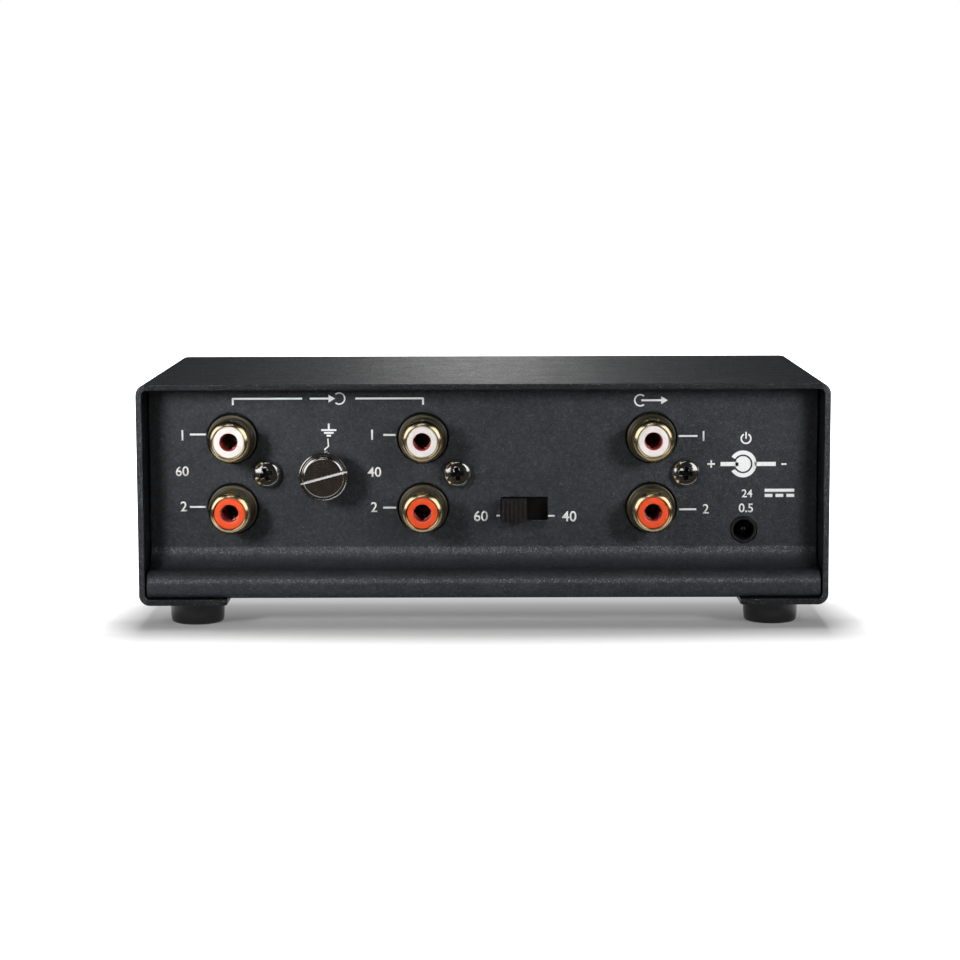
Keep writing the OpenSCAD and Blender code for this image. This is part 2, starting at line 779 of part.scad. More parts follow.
// Slider at rest, at the left end of its slot: ribbed knob, cover plate and carriage
module switch_slider() {
    color("#1a1714") at_rear(switch_x - switch_travel / 2, z_board_top + switch_rise) {
        difference() {
            slab(knob_w, knob_h, plate_front - plate_t, knob_l);
            for (n = [1:knob_grooves]) translate([n * knob_groove_pitch - knob_w / 2, 0, 0])
                slab(knob_groove_w, knob_h + cut, knob_l - knob_groove_d, knob_l + cut);
        }
        slab(plate_w, plate_h, plate_front - plate_t, plate_front);
        slab(carriage_w, carriage_h, carriage_back, plate_front - plate_t);
    }
}

// Two bridges on the back of the slider, each joining the middle terminal to one beside it
module switch_wipers() {
    bridge_w = terminal_pitch + 2 * wiper_reach;
    color("#cfa94f") at_rear(switch_x - switch_travel / 2, z_board_top + switch_rise)
        for (y = [-1, 1]) translate([0, y * terminal_row, 0]) {
            slab(bridge_w, wiper_w, carriage_back - wiper_t, carriage_back);
            for (x = [-1, 1]) translate([x * terminal_pitch / 2, 0, 0])
                slab(wiper_stud_w, wiper_stud_w, wafer_front + terminal_proud + wiper_gap, carriage_back);
        }
}

// Power inlet: block on the board with a nose through the panel
module inlet_housing() {
    bore_back = inlet_proud - inlet_bore_l;
    color("#191a1c") at_rear(inlet_x, z_board_top + inlet_rise) difference() {
        union() {
            translate([-inlet_body_w / 2, -inlet_rise, inlet_back])
                cube([inlet_body_w, inlet_body_h, inlet_body_d]);
            translate([0, 0, -sheet_t]) cylinder(d = inlet_nose_d, h = sheet_t + inlet_proud);
        }
        translate([0, 0, bore_back]) cylinder(d = inlet_bore_d, h = inlet_bore_l + cut);
        translate([0, 0, inlet_back - cut]) cylinder(r = pin_root_r + fit, h = inlet_body_d);
        translate([0, -leaf_drop, 0])
            slab(leaf_w + 2 * fit, leaf_t + 2 * fit, inlet_back - cut, bore_back + cut);
        translate([0, -inlet_bore_d / 2 - leaf_room, 0])
            slab(leaf_w + 2 * fit, inlet_bore_d / 4 + 2 * leaf_room, bore_back, leaf_front);
    }
}

// Centre pin: free in the bore, with a thicker root in the housing's back wall and a tab to the board
module inlet_pin() {
    tip = inlet_proud - inlet_pin_inset;
    bore_back = inlet_proud - inlet_bore_l;
    r = inlet_pin_d / 2;
    color("#d0d2d4") at_rear(inlet_x, z_board_top + inlet_rise) {
        translate([0, 0, bore_back]) cylinder(r = r, h = tip - r - bore_back);
        translate([0, 0, inlet_back]) cylinder(r = pin_root_r, h = bore_back - inlet_back);
        translate([0, 0, tip - r]) sphere(r);
        translate([0, 0, inlet_back - pin_tab_t]) cylinder(r = pin_head_r, h = pin_tab_t);
        translate([pin_tab_x, -inlet_rise, inlet_back - pin_tab_t])
            cube([pin_tab_w, inlet_rise + pin_head_r / 2, pin_tab_t]);
    }
}

// Leaf that presses on the plug's barrel from below, with a tail to the board
module inlet_spring() {
    tail = inlet_back - leaf_tail;
    color("#c9ccd0") at_rear(inlet_x, z_board_top + inlet_rise) {
        translate([0, -leaf_drop, 0]) slab(leaf_w, leaf_t, tail, leaf_front - leaf_tail);
        translate([-leaf_w / 2, -inlet_rise, tail]) cube([leaf_w, inlet_rise - leaf_drop, leaf_t]);
    }
}

// Lamp on two leads that bend down to the board
module lamp() {
    color("#8fd36b") at_front(lamp_x, z_board_top + lamp_rise) {
        translate([0, 0, lamp_back + lamp_flange_t])
            cylinder(r = lamp_r, h = -lamp_back - lamp_flange_t - lamp_r / 2);
        translate([0, 0, -lamp_r / 2]) sphere(lamp_r);
        translate([0, 0, lamp_back]) cylinder(r = lamp_flange_r, h = lamp_flange_t);
        for (x = [-1, 1]) translate([x * lead_pitch / 2, 0, lamp_back - lead_reach]) {
            cylinder(r = lead_r, h = lead_reach);
            sphere(lead_r);
            rotate([-90, 0, 0]) cylinder(r = lead_r, h = lamp_rise);
        }
    }
}

module lamp_holder() {
    color("#1b1c1f") at_front(lamp_x, z_board_top + lamp_rise) difference() {
        translate([-holder_w / 2, -holder_top, lamp_back + lamp_flange_t])
            cube([holder_w, holder_top + lamp_rise, holder_d]);
        translate([0, 0, lamp_back]) cylinder(r = lamp_r + fit, h = holder_d + 2 * cut);
    }
}

// Eight-pin amplifier: body on two rows of legs
module amplifier(x) {
    color("#1d1e20") on_board(x, row_y[1]) {
        slab(amp_size[0], amp_size[1], amp_lift, amp_lift + amp_size[2]);
        for (n = [-1.5:1.5], side = [-1, 1]) translate([n * pin_pitch, side * amp_leg_span / 2, 0])
            slab(amp_leg_size[0], amp_leg_size[1], 0, amp_leg_size[2]);
    }
}

// Round can with a rubber bung at its foot, a crimped groove and a round-edged top
module can(r, h) {
    edge_r = 0.6;
    bung_h = 0.4;
    groove_d = 0.4;
    groove_z = 1.8;
    groove_h = 0.8;
    rotate_extrude() {
        square([r - edge_r, h]);
        translate([0, bung_h]) square([r, groove_z - bung_h]);
        translate([0, groove_z]) square([r - groove_d, groove_h]);
        translate([0, groove_z + groove_h]) square([r, h - edge_r - groove_z - groove_h]);
        translate([r - edge_r, h - edge_r]) circle(edge_r);
    }
}

module supply_capacitors() {
    color("#2a2f52") for (n = [0, 1])
        on_board(supply_x, row_y[0] + supply_row + n * supply_pitch) can(supply_r, supply_h);
}

module coupling_capacitors() {
    color("#23262d") for (x = coupling_x) on_board(x, row_y[3]) can(coupling_r, coupling_h);
}

module film_capacitors() {
    color("#b03a2e") for (n = [0:film_n - 1]) on_board(film_x + n * film_pitch, row_y[0]) {
        slab(film_size[0], film_size[1], film_lift, film_lift + film_size[2]);
        for (x = [-1, 1]) translate([x * film_lead_pitch / 2, 0, 0])
            cylinder(r = film_lead_r, h = film_lift);
    }
}

// Part with a round body, thicker at both ends, lying along Y on two leads bent down to the board
module axial_part(r, l, lead) {
    h = r + axial_lift;
    waist_r = r * 0.85;
    end_l = l * 0.28;
    translate([0, 0, h]) rotate([90, 0, 0]) {
        cylinder(r = waist_r, h = l, center = true);
        for (z = [-1, 1]) translate([0, 0, z * (l - end_l) / 2]) cylinder(r = r, h = end_l, center = true);
        cylinder(r = lead, h = axial_span, center = true);
    }
    for (y = [-1, 1]) translate([0, y * axial_span / 2, 0]) {
        cylinder(r = lead, h = h);
        translate([0, 0, h]) sphere(lead);
    }
}

module resistors() {
    color("#5b8fb8") for (n = [0:resistor_n - 1])
        on_board(resistor_x + n * resistor_pitch, row_y[2])
            axial_part(resistor_r, resistor_l, resistor_lead_r);
}

module supply_diode() {
    color("#202124") on_board(diode_x, row_y[0]) axial_part(diode_r, diode_l, diode_lead_r);
}

// Small plastic-cased transistors with a flat face, on three legs
module transistors() {
    color("#1d1e20") for (x = transistor_x) on_board(x, row_y[1]) {
        difference() {
            translate([0, 0, transistor_lift]) cylinder(r = transistor_r, h = transistor_h);
            translate([0, transistor_flat + transistor_r, 0])
                slab(2 * transistor_r + cut, 2 * transistor_r, 0, transistor_lift + transistor_h + cut);
        }
        for (n = [-1:1]) translate([n * pin_pitch / 2, 0, 0])
            slab(transistor_leg_w, transistor_leg_w, 0, transistor_lift + cut);
    }
}

// Regulator standing on three legs, with its metal tab behind
module regulator() {
    hole_z = regulator_lift + regulator_tab_h - regulator_tab_hole_r - cut;
    color("#3a3c40") on_board(regulator_x, row_y[1]) {
        slab(regulator_size[0], regulator_size[1], regulator_lift, regulator_lift + regulator_size[2]);
        difference() {
            translate([0, (regulator_size[1] - regulator_tab_t) / 2, 0])
                slab(regulator_size[0], regulator_tab_t, regulator_lift, regulator_lift + regulator_tab_h);
            translate([0, 0, hole_z]) rotate([-90, 0, 0])
                cylinder(r = regulator_tab_hole_r, h = regulator_size[1]);
        }
        for (n = [-1:1]) translate([n * pin_pitch, 0, 0])
            slab(regulator_leg_size[0], regulator_leg_size[1], 0, regulator_lift + cut);
    }
}

// Drum chokes: a waist of wire between two flanges
module filter_chokes() {
    color("#4a4d52") for (x = choke_x) on_board(x, row_y[0]) rotate_extrude() {
        square([choke_r, choke_flange_t]);
        translate([0, choke_flange_t]) square([choke_waist_r, choke_waist_h]);
        translate([0, choke_flange_t + choke_waist_h]) square([choke_r, choke_flange_t]);
    }
}

outer_cover();
chassis();
for (n = [0:3]) foot(foot_places[n]);
foot_screws();
foot_nuts();
circuit_board();
board_standoffs();
board_screws();
for (n = [0:2]) {
    jack_housing(jack_x[n]);
    jack_shell(jack_x[n], z_upper);
    jack_shell(jack_x[n], z_lower);
    jack_insulator(jack_x[n], z_upper, "#f2efe8");
    jack_insulator(jack_x[n], z_lower, "#e8542a");
    jack_contacts(jack_x[n]);
    amplifier(amp_x[n]);
}
jack_screws();
ground_screw();
ground_washer();
ground_bush();
ground_nut();
ground_lug();
ground_wire();
switch_frame();
switch_wafer();
switch_terminals();
switch_slider();
switch_wipers();
inlet_housing();
inlet_pin();
inlet_spring();
lamp();
lamp_holder();
supply_capacitors();
coupling_capacitors();
film_capacitors();
resistors();
transistors();
regulator();
supply_diode();
filter_chokes();
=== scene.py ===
import math

import bmesh
import bpy
from mathutils import Matrix, Vector


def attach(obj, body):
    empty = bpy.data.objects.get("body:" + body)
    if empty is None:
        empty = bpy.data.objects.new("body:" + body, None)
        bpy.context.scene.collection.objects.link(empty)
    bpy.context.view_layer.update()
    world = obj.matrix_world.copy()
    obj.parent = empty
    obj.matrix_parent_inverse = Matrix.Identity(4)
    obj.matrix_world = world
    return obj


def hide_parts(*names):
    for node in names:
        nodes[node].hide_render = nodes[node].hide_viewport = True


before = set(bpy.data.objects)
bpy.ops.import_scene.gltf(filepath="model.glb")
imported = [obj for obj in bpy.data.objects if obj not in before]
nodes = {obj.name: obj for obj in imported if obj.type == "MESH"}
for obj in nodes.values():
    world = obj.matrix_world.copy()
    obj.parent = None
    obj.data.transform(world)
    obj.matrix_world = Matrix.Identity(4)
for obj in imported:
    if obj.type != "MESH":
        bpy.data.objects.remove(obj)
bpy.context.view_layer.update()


# Camera: it stands half a metre in front of the connector panel, a little above the case, and looks
# slightly down at it through a long lens.
def mm(*lengths):
    """One length, or a point, from millimetres to metres."""
    return lengths[0] * 0.001 if len(lengths) == 1 else Vector(lengths) * 0.001


bpy.ops.object.camera_add(location=mm(1.73, -536.2, 91.13))
camera = bpy.context.object
pan = Matrix.Rotation(0.0047, 3, "Z")
tilt = Matrix.Rotation(math.pi / 2 - 0.1231, 3, "X")
roll = Matrix.Rotation(-0.0031, 3, "Z")
camera.rotation_euler = (pan @ tilt @ roll).to_euler()
camera.data.sensor_width = 36
camera.data.lens = 97.1
camera.data.clip_start = mm(10)
bpy.context.scene.camera = camera


# Studio lamps: two small low softboxes in front, left and right, light the panel; one overhead, a little
# behind the case, lights the floor and throws the soft shadow forwards. Metal mirrors the cards below.
def softbox(name, place, target, width, height, power, spread=180):
    """Area lamp that the camera doesn't see, with its face turned to a target."""
    bpy.ops.object.light_add(type="AREA", location=place)
    lamp = bpy.context.object
    lamp.name = name
    lamp.data.shape = "RECTANGLE"
    lamp.data.size = width
    lamp.data.size_y = height
    lamp.data.energy = power
    lamp.data.spread = math.radians(spread)
    lamp.rotation_euler = (Vector(target) - Vector(place)).to_track_quat("-Z", "Y").to_euler()
    lamp.visible_camera = False
    lamp.visible_glossy = False


softbox("left_softbox", (-0.12, -0.17, 0.082), (-0.045, -0.03, 0.047), 0.04, 0.045, 0.037, 60)
softbox("right_softbox", (0.12, -0.17, 0.082), (0.045, -0.03, 0.047), 0.04, 0.045, 0.0285, 60)
softbox("overhead_softbox", (0, 0.15, 1.0), (0, 0, 0), 0.2, 0.42, 12.5)

bpy.context.scene.view_settings.view_transform = "Standard"


# White room: a weak even fill for the surfaces, and plain white for what the camera, glossy and clear
# surfaces see of it.
def knot(tree, kind, *inputs, **values):
    """Shader node. Inputs come in order or by name with a capital; another node's socket is linked."""
    made = tree.nodes.new("ShaderNode" + kind)
    for name in [name for name in values if name.islower()]:
        setattr(made, name, values.pop(name))
    sockets = dict(enumerate(inputs))
    sockets.update((name.replace("_", " "), value) for name, value in values.items())
    for name, value in sockets.items():
        if isinstance(value, bpy.types.NodeSocket):
            tree.links.new(value, made.inputs[name])
        else:
            made.inputs[name].default_value = value
    return made


def maths(tree, operation, *values):
    """Outcome of one operation on values."""
    return knot(tree, "Math", *values, operation=operation).outputs[0]


def ranged(tree, value, **limits):
    """Value carried from one range into another, each of them 0 to 1 unless it is given."""
    return knot(tree, "MapRange", Value=value, **limits).outputs["Result"]


def seen_directly(tree):
    """1 for camera, glossy and transmission rays, 0 for all others."""
    ray = knot(tree, "LightPath")
    seen = ray.outputs["Is Camera Ray"]
    for other in ("Is Glossy Ray", "Is Transmission Ray"):
        seen = maths(tree, "MAXIMUM", seen, ray.outputs[other])
    return seen


room = bpy.data.worlds.new("white_room")
room.use_nodes = True
bpy.context.scene.world = room
tree = room.node_tree
tree.nodes.clear()
strength = ranged(tree, seen_directly(tree), To_Min=0.06, To_Max=1.0)
glow = knot(tree, "Background", Color=(1, 1, 1, 1), Strength=strength)
knot(tree, "OutputWorld", Surface=glow.outputs["Background"])


# Floor: matt white paper with a weak glow, stronger behind and beside the case. Towards its rim it gives
# off what the lamps don't reach, so that it runs into the white of the room without an edge. Glossy
# surfaces see it fall dark in front of the case and away from it.
def axis(tree, vector, name):
    """One axis of a vector."""
    return knot(tree, "SeparateXYZ", Vector=vector).outputs[name]


def ramp(tree, value, stops, interpolation="LINEAR"):
    """Colour along a value, from stops that each hold a position and a colour or a grey."""
    made = knot(tree, "ValToRGB", Fac=value)
    made.color_ramp.interpolation = interpolation
    while len(made.color_ramp.elements) < len(stops):
        made.color_ramp.elements.new(1.0)
    for element, (position, colour) in zip(made.color_ramp.elements, stops):
        element.position = position
        element.color = (*colour, 1) if isinstance(colour, tuple) else (colour, colour, colour, 1)
    return made.outputs["Color"]


bpy.ops.mesh.primitive_circle_add(vertices=96, radius=1.5, fill_type="NGON")
floor = bpy.context.object
floor.name = "floor"
paper = bpy.data.materials.new("paper")
paper.use_nodes = True
tree = paper.node_tree
tree.nodes.clear()
place = knot(tree, "TexCoord").outputs["Object"]
depth = axis(tree, place, "Y")
oval = knot(tree, "VectorMath", place, (0.45, 1, 1), operation="MULTIPLY").outputs[0]
oval = knot(tree, "VectorMath", oval, operation="LENGTH").outputs["Value"]
rim = ranged(tree, oval, From_Min=0.044, From_Max=0.1, To_Min=0.01, To_Max=1.0)
behind = ranged(tree, depth, From_Min=-0.046, From_Max=0.05)
rise = ((0.03, 0.0), (0.07, 0.05), (0.18, 0.07), (0.23, 0.17))
rise += ((0.32, 0.28), (0.38, 0.36), (0.42, 0.48), (0.6, 0.8))
level = maths(tree, "ADD", rim, ramp(tree, behind, rise))
aside = maths(tree, "ABSOLUTE", axis(tree, place, "X"))
beside = ranged(tree, aside, From_Min=0.0735, From_Max=0.078, To_Max=0.15)
level = maths(tree, "ADD", level, beside)
glow = maths(tree, "MULTIPLY", level, seen_directly(tree))
shine = knot(tree, "Emission", Color=(1, 1, 1, 1), Strength=glow)
white = ranged(tree, seen_directly(tree), To_Min=0.25, To_Max=0.6)
matt = knot(tree, "BsdfDiffuse", Color=white)
both = knot(tree, "AddShader", matt.outputs[0], shine.outputs[0])
distance = knot(tree, "VectorMath", place, operation="LENGTH").outputs["Value"]
away = ranged(tree, distance, From_Min=0.09, From_Max=0.16)
ahead = ranged(tree, depth, From_Min=-0.038, From_Max=-0.052)
away = maths(tree, "MAXIMUM", away, ahead)
mirrored = maths(tree, "MULTIPLY", away, knot(tree, "LightPath").outputs["Is Glossy Ray"])
dark = knot(tree, "Emission", Color=(1, 0.8, 0.6, 1), Strength=0.035)
seen = knot(tree, "MixShader", mirrored, both.outputs[0], dark.outputs[0])
knot(tree, "OutputMaterial", Surface=seen.outputs[0])
floor.data.materials.append(paper)


# Dark studio: a dome that only glossy surfaces see, with seven white cards in front that metal mirrors, and
# one behind the case, bright in its middle, whose soft streak shows on the case's top.
def for_gloss_only(piece, name, strength):
    """Make a piece of the studio that gives off light only where glossy surfaces mirror it."""
    piece.name = name
    made = bpy.data.materials.new(name)
    made.use_nodes = True
    tree = made.node_tree
    tree.nodes.clear()
    dim = knot(tree, "Emission", Color=(1, 1, 1, 1), Strength=strength(tree))
    knot(tree, "OutputMaterial", Surface=dim.outputs[0])
    piece.data.materials.append(made)
    piece.visible_camera = False
    piece.visible_diffuse = False
    piece.visible_transmission = False
    piece.visible_shadow = False


def streak(tree):
    """Strength along the card's width: full in the middle, falling off to the sides."""
    side = maths(tree, "ABSOLUTE", axis(tree, knot(tree, "TexCoord").outputs["Object"], "X"))
    limits = {"From_Min": mm(5.7), "From_Max": mm(56), "To_Min": 2.1, "To_Max": 0.02}
    return ranged(tree, side, interpolation_type="SMOOTHSTEP", **limits)


bpy.ops.mesh.primitive_uv_sphere_add(segments=48, ring_count=24, radius=1.4)
for_gloss_only(bpy.context.object, "dark_studio", lambda tree: 0.015)
bpy.ops.mesh.primitive_plane_add(size=1, location=(-0.003, 0.6, 0.35), rotation=(math.pi / 2, 0, 0))
bpy.context.object.scale = (0.16, 0.7, 1)
bpy.ops.object.transform_apply(location=False, rotation=True, scale=True)
for_gloss_only(bpy.context.object, "back_card", streak)
for name, place, size, strength in (
    ("left_card", (-0.56, -0.36, 0.36), 0.55, 1.4),
    ("right_card", (0.56, -0.36, 0.36), 0.55, 1.4),
    ("top_card", (-0.14, -0.45, 0.72), 0.16, 1.2),
    ("near_left_card", (-0.2, -0.24, 0.1), 0.14, 1.4),
    ("near_right_card", (0.22, -0.24, 0.1), 0.1, 1.4),
    ("low_card", (-0.12, -0.72, 0.115), 0.12, 2.0),
    ("overhead_card", (0.02, -0.3, 0.6), 0.09, 1.2),
):
    bpy.ops.mesh.primitive_plane_add(size=size, location=place)
    card = bpy.context.object
    card.rotation_euler = (-card.location).to_track_quat("Z", "Y").to_euler()
    for_gloss_only(card, name, lambda tree: strength)


# Chassis: folded sheet steel, 1.2 mm thick, with a charcoal powder coat. Each end is bent up into a lip,
# back over a shelf and up a hollow fold into a panel. The holes were punched before folding.
def take(piece):
    """Select only this piece and make it the active one."""
    bpy.ops.object.select_all(action="DESELECT")
    piece.select_set(True)
    bpy.context.view_layer.objects.active = piece


def named(name):
    """Name the new piece, with its place and turn in its mesh."""
    piece = bpy.context.object
    piece.name = piece.data.name = name
    bpy.ops.object.transform_apply(location=True, rotation=True, scale=True)
    return piece


def pick(kind, test):
    """In edit mode, select the corners, edges or faces whose middle, in millimetres, passes a test."""
    mesh = bmesh.from_edit_mesh(bpy.context.object.data)
    bpy.ops.mesh.select_mode(type=kind)
    bpy.ops.mesh.select_all(action="DESELECT")
    for part in {"VERT": mesh.verts, "EDGE": mesh.edges, "FACE": mesh.faces}[kind]:
        corners = [part] if kind == "VERT" else part.verts
        middle = sum((corner.co for corner in corners), Vector()) / len(corners)
        if test(*(middle * 1000)):
            part.select_set(True)
    mesh.select_flush_mode()
    bmesh.update_edit_mesh(bpy.context.object.data)


def near(a, b):
    """Two lengths in millimetres are the same."""
    return abs(a - b) < 0.01


def arc(middle, radius, start, end, steps=6):
    """Points on a round, in millimetres, from one angle in degrees to another."""
    angles = [math.radians(start + (end - start) * n / steps) for n in range(steps + 1)]
    return [(middle[0] + radius * math.cos(a), middle[1] + radius * math.sin(a)) for a in angles]


def traced(name, points):
    """Wire through points in millimetres, drawn corner by corner and left in edit mode, all of it picked."""
    bpy.ops.mesh.primitive_plane_add(size=mm(1))
    piece = bpy.context.object
    piece.name = piece.data.name = name
    bpy.ops.object.mode_set(mode="EDIT")
    bpy.ops.mesh.select_mode(type="VERT")
    bpy.ops.mesh.merge(type="CENTER")
    bpy.ops.transform.translate(value=mm(*points[0]))
    for here, there in zip(points, points[1:]):
        bpy.ops.mesh.extrude_region_move(TRANSFORM_OT_translate={"value": mm(*there) - mm(*here)})
    bpy.ops.mesh.select_all(action="SELECT")
    bpy.ops.mesh.remove_doubles(threshold=mm(0.001))
    bpy.ops.mesh.select_all(action="SELECT")
    return piece


def apply_modifier(piece, kind, **values):
    """Add a modifier to a piece and apply it."""
    take(piece)
    modifier = piece.modifiers.new(kind.title(), kind)
    for name, value in values.items():
        setattr(modifier, name, value)
    bpy.ops.object.modifier_apply(modifier=modifier.name)


def joined(pieces):
    """Join pieces into the first of them."""
    take(pieces[0])
    for piece in pieces:
        piece.select_set(True)
    if len(pieces) > 1:
        bpy.ops.object.join()
    return pieces[0]


def cut_with(piece, cutters, operation="DIFFERENCE"):
    """Cut shapes out of a piece, or trim it to them."""
    tool = joined(cutters)
    apply_modifier(piece, "BOOLEAN", object=tool, operation=operation, solver="EXACT")
    bpy.data.objects.remove(tool)


def round_cutter(radius, place, turn=(0, 0, 0), depth=4, sides=72):
    """Round punch of a radius, through a place, all in millimetres."""
    bpy.ops.mesh.primitive_cylinder_add(
        vertices=sides, radius=mm(radius), depth=mm(depth), location=mm(*place), rotation=turn
    )
    return named("cutter")


def box(size, place, name="box"):
    """Box of a size about a place, both in millimetres."""
    bpy.ops.mesh.primitive_cube_add(size=1, location=mm(*place), scale=mm(*size))
    return named(name)


def soften(piece, width, angle=35, segments=2):
    """Round the sharp edges of a piece by a width in millimetres, and smooth its curved faces."""
    take(piece)
    bpy.ops.object.mode_set(mode="EDIT")
    bpy.ops.mesh.select_all(action="SELECT")
    bpy.ops.mesh.dissolve_limited(angle_limit=math.radians(0.05))
    bpy.ops.object.mode_set(mode="OBJECT")
    apply_modifier(
        piece,
        "BEVEL",
        width=mm(width),
        segments=segments,
        limit_method="ANGLE",
        angle_limit=math.radians(angle),
    )
    bpy.ops.object.shade_smooth_by_angle(angle=math.radians(32))
    apply_modifier(piece, "WEIGHTED_NORMAL", keep_sharp=True)


def finish(name, colour, roughness, metallic=0.0, mottle=0.08, grain=0.6, relief=0.004, **sockets):
    """Finish whose colour and gloss vary a little over the surface, with a fine relief in millimetres."""
    made = bpy.data.materials.new(name)
    made.use_nodes = True
    tree = made.node_tree
    shader = tree.nodes["Principled BSDF"]
    where = knot(tree, "TexCoord")
    where.name = "Where"
    place = where.outputs["Object"]
    cloud = knot(tree, "TexNoise", Vector=place, Scale=1 / mm(grain), Detail=4.0, Roughness=0.6)
    cloud.name = "Cloud"
    spread = ranged(tree, cloud.outputs["Fac"], From_Min=0.3, From_Max=0.7)
    dark = [c * (1 - mottle) for c in colour] + [1]
    light = [min(1, c * (1 + mottle)) for c in colour] + [1]
    tone = knot(tree, "MixRGB", Fac=spread, Color1=dark, Color2=light)
    tone.name = "Tone"
    tree.links.new(tone.outputs["Color"], shader.inputs["Base Color"])
    limits = {"To_Min": roughness * 0.88, "To_Max": min(1, roughness * 1.12)}
    gloss = ranged(tree, cloud.outputs["Fac"], From_Min=0.3, From_Max=0.7, **limits)
    tree.links.new(gloss, shader.inputs["Roughness"])
    shader.inputs["Metallic"].default_value = metallic
    fine = knot(tree, "TexNoise", Vector=place, Scale=3 / mm(grain), Detail=2.0)
    bump = knot(tree, "Bump", Height=fine.outputs["Fac"], Distance=mm(relief), Strength=1.0)
    tree.links.new(bump.outputs["Normal"], shader.inputs["Normal"])
    for socket, value in sockets.items():
        shader.inputs[socket.replace("_", " ")].default_value = value
    return made


def powder_coat(name, colour, roughness, glint, gloss):
    """Textured powder coat: cloudy charcoal with a fine grit and small metal flakes at all angles. Its colour
    carries painted light: lighter on slopes such as the chassis's folds, darker on faces that look up, and
    scattered with painted silver glints that are denser on slopes.
    """
    made = finish(name, colour, roughness, mottle=0.12, grain=6, relief=0, Specular_IOR_Level=gloss)
    tree = made.node_tree
    shader = tree.nodes["Principled BSDF"]
    where = tree.nodes["Where"].outputs["Object"]
    noise = knot(tree, "TexNoise", Vector=where, Scale=1 / mm(0.8), Detail=4.0, Roughness=0.72)
    grit = noise.outputs["Fac"]
    speck = ranged(tree, grit, From_Min=0.3, From_Max=0.72, To_Min=0.66, To_Max=1.44)
    tone = tree.nodes["Tone"].outputs["Color"]
    grain = knot(tree, "VectorMath", tone, operation="SCALE", Scale=speck).outputs[0]
    # Painted light by slope: the colour is lifted up to one and a half times on gentle upward slopes and
    # lowered to 0.7 on faces that look up.
    slope = axis(tree, knot(tree, "TexCoord").outputs["Normal"], "Z")
    sheen_by_slope = ramp(tree, slope, ((0.0, 0.3), (0.1, 1.0), (0.3, 1.0), (0.45, 0.4), (0.7, 0.0)))
    painted_light_by_slope = ranged(tree, sheen_by_slope, To_Min=0.7, To_Max=1.5)
    grain = knot(tree, "VectorMath", grain, operation="SCALE", Scale=painted_light_by_slope).outputs[0]
    # Painted glints: a share of small cells, larger on slopes, is mixed towards a silver grey. The same cells
    # also tilt the normal, as real flakes do.
    cell = knot(tree, "TexVoronoi", Vector=where, Scale=1 / mm(0.14), Randomness=1.0).outputs["Color"]
    chance = knot(tree, "SeparateColor", Color=cell).outputs["Red"]
    glint_odds = maths(tree, "MULTIPLY_ADD", sheen_by_slope, glint, chance)
    painted_glint = ranged(tree, glint_odds, From_Min=1.0, From_Max=1 + glint, To_Max=0.8)
    glint_silver = (0.26, 0.268, 0.278, 1)
    coat = knot(tree, "MixRGB", Fac=painted_glint, Color1=grain, Color2=glint_silver)
    tree.links.new(coat.outputs["Color"], shader.inputs["Base Color"])
    tilt = knot(tree, "VectorMath", cell, (0.6,) * 3, (-0.3,) * 3, operation="MULTIPLY_ADD").outputs[0]
    facing = knot(tree, "NewGeometry").outputs["Normal"]
    facet = knot(tree, "VectorMath", facing, tilt, operation="ADD").outputs[0]
    level = knot(tree, "VectorMath", facet, operation="NORMALIZE").outputs[0]
    bump = knot(tree, "Bump", Height=grit, Distance=mm(0.02), Strength=1.0, Normal=level)
    tree.links.new(bump.outputs["Normal"], shader.inputs["Normal"])
    return made


def fasten(piece, body, slot, *stands_for):
    """Let a finished piece move with its body, and stand for its nodes, which are hidden. The slot is not
    used.
    """
    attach(piece, body)
    if stands_for:
        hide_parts(*stands_for)


panel, punch, sheet, chassis_x = -27.5, -27, 1.2, 66
jack_places, ear = (-49.6, -11.9, 33.2), 6.8
upper, middle, lower = 36.6, 29.6, 22.6
ground_x = -31.3
slot_x, switch_z = 8.1, 22.45
inlet_x, inlet_z = 51.6, 18.1
foot_places = [(x, y) for y in (-27, 27) for x in (-57, 57)]
facing_out = (math.pi / 2, 0, 0)

section = (
    [(0, 5.7)]
    + arc((-33.8, 7.5), 1.8, 270, 180)
    + arc((-33.3, 8.8), 2.3, 180, 90, 8)
    + arc((-31.5, 15.1), 4, 270, 360, 10)
    + [(panel, 46.77)]
)
chassis = traced("folded_chassis", [(-chassis_x, y, z) for y, z in section])
bpy.ops.mesh.extrude_region_move(TRANSFORM_OT_translate={"value": mm(2 * chassis_x, 0, 0)})
bpy.ops.object.mode_set(mode="OBJECT")
apply_modifier(chassis, "MIRROR", use_axis=(False, True, False), merge_threshold=mm(0.001))
bpy.ops.object.mode_set(mode="EDIT")
bpy.ops.mesh.select_all(action="SELECT")
bpy.ops.mesh.normals_make_consistent(inside=False)
bpy.ops.object.mode_set(mode="OBJECT")
panel_face = min(chassis.data.polygons, key=lambda face: abs(face.center.y - mm(panel)))
if panel_face.normal.y > 0:
    chassis.data.flip_normals()
apply_modifier(chassis, "SOLIDIFY", thickness=mm(sheet), offset=-1, use_even_offset=True)
trim = box((2 * chassis_x + 0.01, 76, 41.09), (0, 0, 26.235))
bpy.ops.object.mode_set(mode="EDIT")
pick("EDGE", lambda x, y, z: near(y, 0) and abs(x) > 60 and (z < 6 or z > 46))
bpy.ops.mesh.bevel(offset=mm(1), segments=5, affect="EDGES")
bpy.ops.object.mode_set(mode="OBJECT")
cut_with(chassis, [trim], "INTERSECT")
holes = []
for x in jack_places:
    holes += [round_cutter(5.15, (x, punch, z), facing_out) for z in (upper, lower)]
    holes.append(round_cutter(1.65, (x + ear, punch, middle), facing_out))
holes.append(round_cutter(3.05, (ground_x, punch, middle), facing_out))
